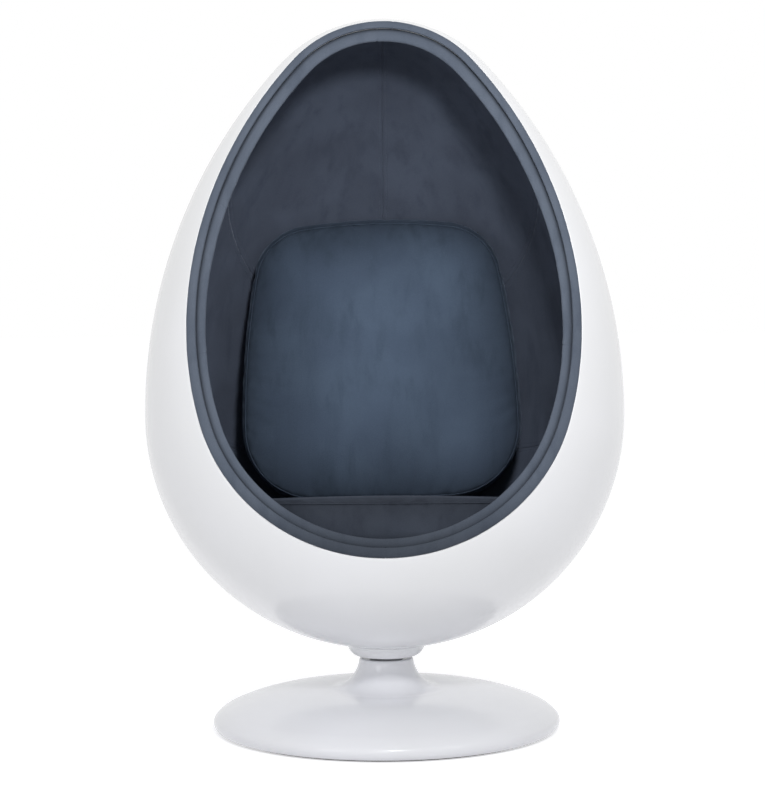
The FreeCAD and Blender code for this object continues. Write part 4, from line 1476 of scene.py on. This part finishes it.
@dataclass
class Studio:
    """Plain pale floor, soft lamps, and the camera where the photograph was taken."""

    floor_size: float = 60.0
    ambient: float = 0.57
    floor_glow: float = 0.51
    camera_place: tuple = (-0.0021, -4.0, 0.7967)
    camera_dip: float = 2.836
    camera_roll: float = 0.4
    lens: float = 102.48
    lamps: tuple = (
        ("key", (0.20, -2.20, 1.52), (0.0, 0.1, 0.95), 0.20, 5.9, 76.0),
        ("side", (1.60, -1.60, 1.90), (0.0, 0.0, 0.60), 0.60, 3.0, 180.0),
        ("left", (-1.50, -2.30, 1.10), (0.0, 0.1, 0.80), 0.80, 2.2, 110.0),
        ("low", (-0.25, -3.00, 0.60), (0.0, 0.0, 0.20), 0.60, 1.0, 110.0),
    )

    def seen(self, tree: bpy.types.NodeTree) -> bpy.types.NodeSocket:
        """One for rays from the camera, straight or by a mirror or glass, and zero for the others."""
        path = add(tree, "ShaderNodeLightPath")
        seen = add(tree, "ShaderNodeMath", {0: path.outputs["Is Camera Ray"],
                                            1: path.outputs["Is Glossy Ray"]}, operation="MAXIMUM")
        seen = add(tree, "ShaderNodeMath", {0: seen.outputs[0], 1: path.outputs["Is Transmission Ray"]},
                   operation="MAXIMUM")
        return seen.outputs[0]

    def floor(self) -> None:
        """A wide plane that the camera sees as white where no shadow falls on it."""
        half = self.floor_size / 2
        corners = np.array([[-half, -half, 0], [half, -half, 0], [half, half, 0], [-half, half, 0]])
        piece = make_piece("floor", corners, np.array([[0, 1, 2, 3]]))
        material, tree, place = blank("floor_painted_pale")
        mottle = add(tree, "ShaderNodeTexNoise", {"Vector": place, "Scale": 2.0, "Detail": 2.0})
        colour = blend_colours(tree, mottle.outputs["Fac"], linear("f2f2f3"), linear("efeff1"))
        matt = add(tree, "ShaderNodeBsdfDiffuse", {"Color": colour})
        seen = self.seen(tree)
        glow = add(tree, "ShaderNodeMath", {0: seen, 1: self.floor_glow}, operation="MULTIPLY")
        lift = add(tree, "ShaderNodeEmission", {"Color": (1, 1, 1, 1), "Strength": glow.outputs[0]})
        both = add(tree, "ShaderNodeAddShader", {0: matt.outputs[0], 1: lift.outputs[0]})
        add(tree, "ShaderNodeOutputMaterial", {"Surface": both.outputs[0]})
        piece.data.materials.append(material)

    def world(self) -> None:
        """An even sky that lights the chair, seen as plain white by the camera and in reflections."""
        world = bpy.data.worlds.new("studio")
        bpy.context.scene.world = world
        world.use_nodes = True
        tree = world.node_tree
        tree.nodes.clear()
        seen = self.seen(tree)
        strength = add(tree, "ShaderNodeMapRange", {"Value": seen, "To Min": self.ambient, "To Max": 1.0})
        sky = add(tree, "ShaderNodeBackground", {"Color": (1, 1, 1, 1), "Strength": strength.outputs[0]})
        add(tree, "ShaderNodeOutputWorld", {"Surface": sky.outputs[0]})

    def light(self) -> None:
        """Square soft boxes that aim at the chair."""
        for name, place, aim, size, power, spread in self.lamps:
            data = bpy.data.lights.new(name, "AREA")
            data.shape = "SQUARE"
            data.size = size
            data.energy = power
            data.spread = math.radians(spread)
            lamp = bpy.data.objects.new(name, data)
            bpy.context.scene.collection.objects.link(lamp)
            away = Vector(place) - Vector(aim)
            lamp.rotation_mode = "QUATERNION"
            lamp.location = place
            lamp.rotation_quaternion = away.to_track_quat("Z", "Y")

    def camera(self) -> None:
        """The photograph's viewpoint: far, a little over the middle of the chair, tipped down."""
        data = bpy.data.cameras.new("view")
        data.lens = self.lens
        data.sensor_width = 36.0
        camera = bpy.data.objects.new("view", data)
        bpy.context.scene.collection.objects.link(camera)
        camera.location = self.camera_place
        camera.rotation_euler = (math.radians(90 - self.camera_dip), math.radians(self.camera_roll), 0.0)
        bpy.context.scene.camera = camera

    def build(self) -> None:
        """Set up the studio."""
        bpy.context.scene.view_settings.view_transform = "Standard"
        self.floor()
        self.world()
        self.light()
        self.camera()


def dress_hidden_nodes(nodes: dict[str, bpy.types.Object], record: dict) -> None:
    """Give each frame node that still shows the finish of its material slot.

    Args:
        nodes: The frame's node objects.
        record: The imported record.
    """
    finishes = {slot: finish.material() for slot, finish in HIDDEN_FINISHES.items()}
    for part in record["subparts"]:
        node = nodes[part["node"]]
        finish = finishes.get(part["material_slot"])
        if finish and not node.hide_render:
            node.data.materials.clear()
            node.data.materials.append(finish)
            LOG.info("%s keeps its frame shape in %s", node.name, finish.name)


def main() -> None:
    """Build the chair's classes in order."""
    logging.basicConfig(level=logging.INFO, format="%(message)s")
    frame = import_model()
    gloss, base_gloss = SHELL_GLOSS.material(), BASE_GLOSS.material()
    lining, seat, cushion, trim = (finish.material() for finish in (LINING_VELVET, SEAT_VELVET,
                                                                    CUSHION_VELVET, TRIM_VELVET))
    Studio().build()
    Base().build(base_gloss)
    Shell().build(gloss)
    Lining().build(lining, HIDDEN_FINISHES["foam"].material())
    RimTrim().build(trim)
    SeatCushion().build(seat)
    BackCushion().build(cushion)
    dress_hidden_nodes(frame["nodes"], frame["record"])


if __name__ == "__main__":
    main()
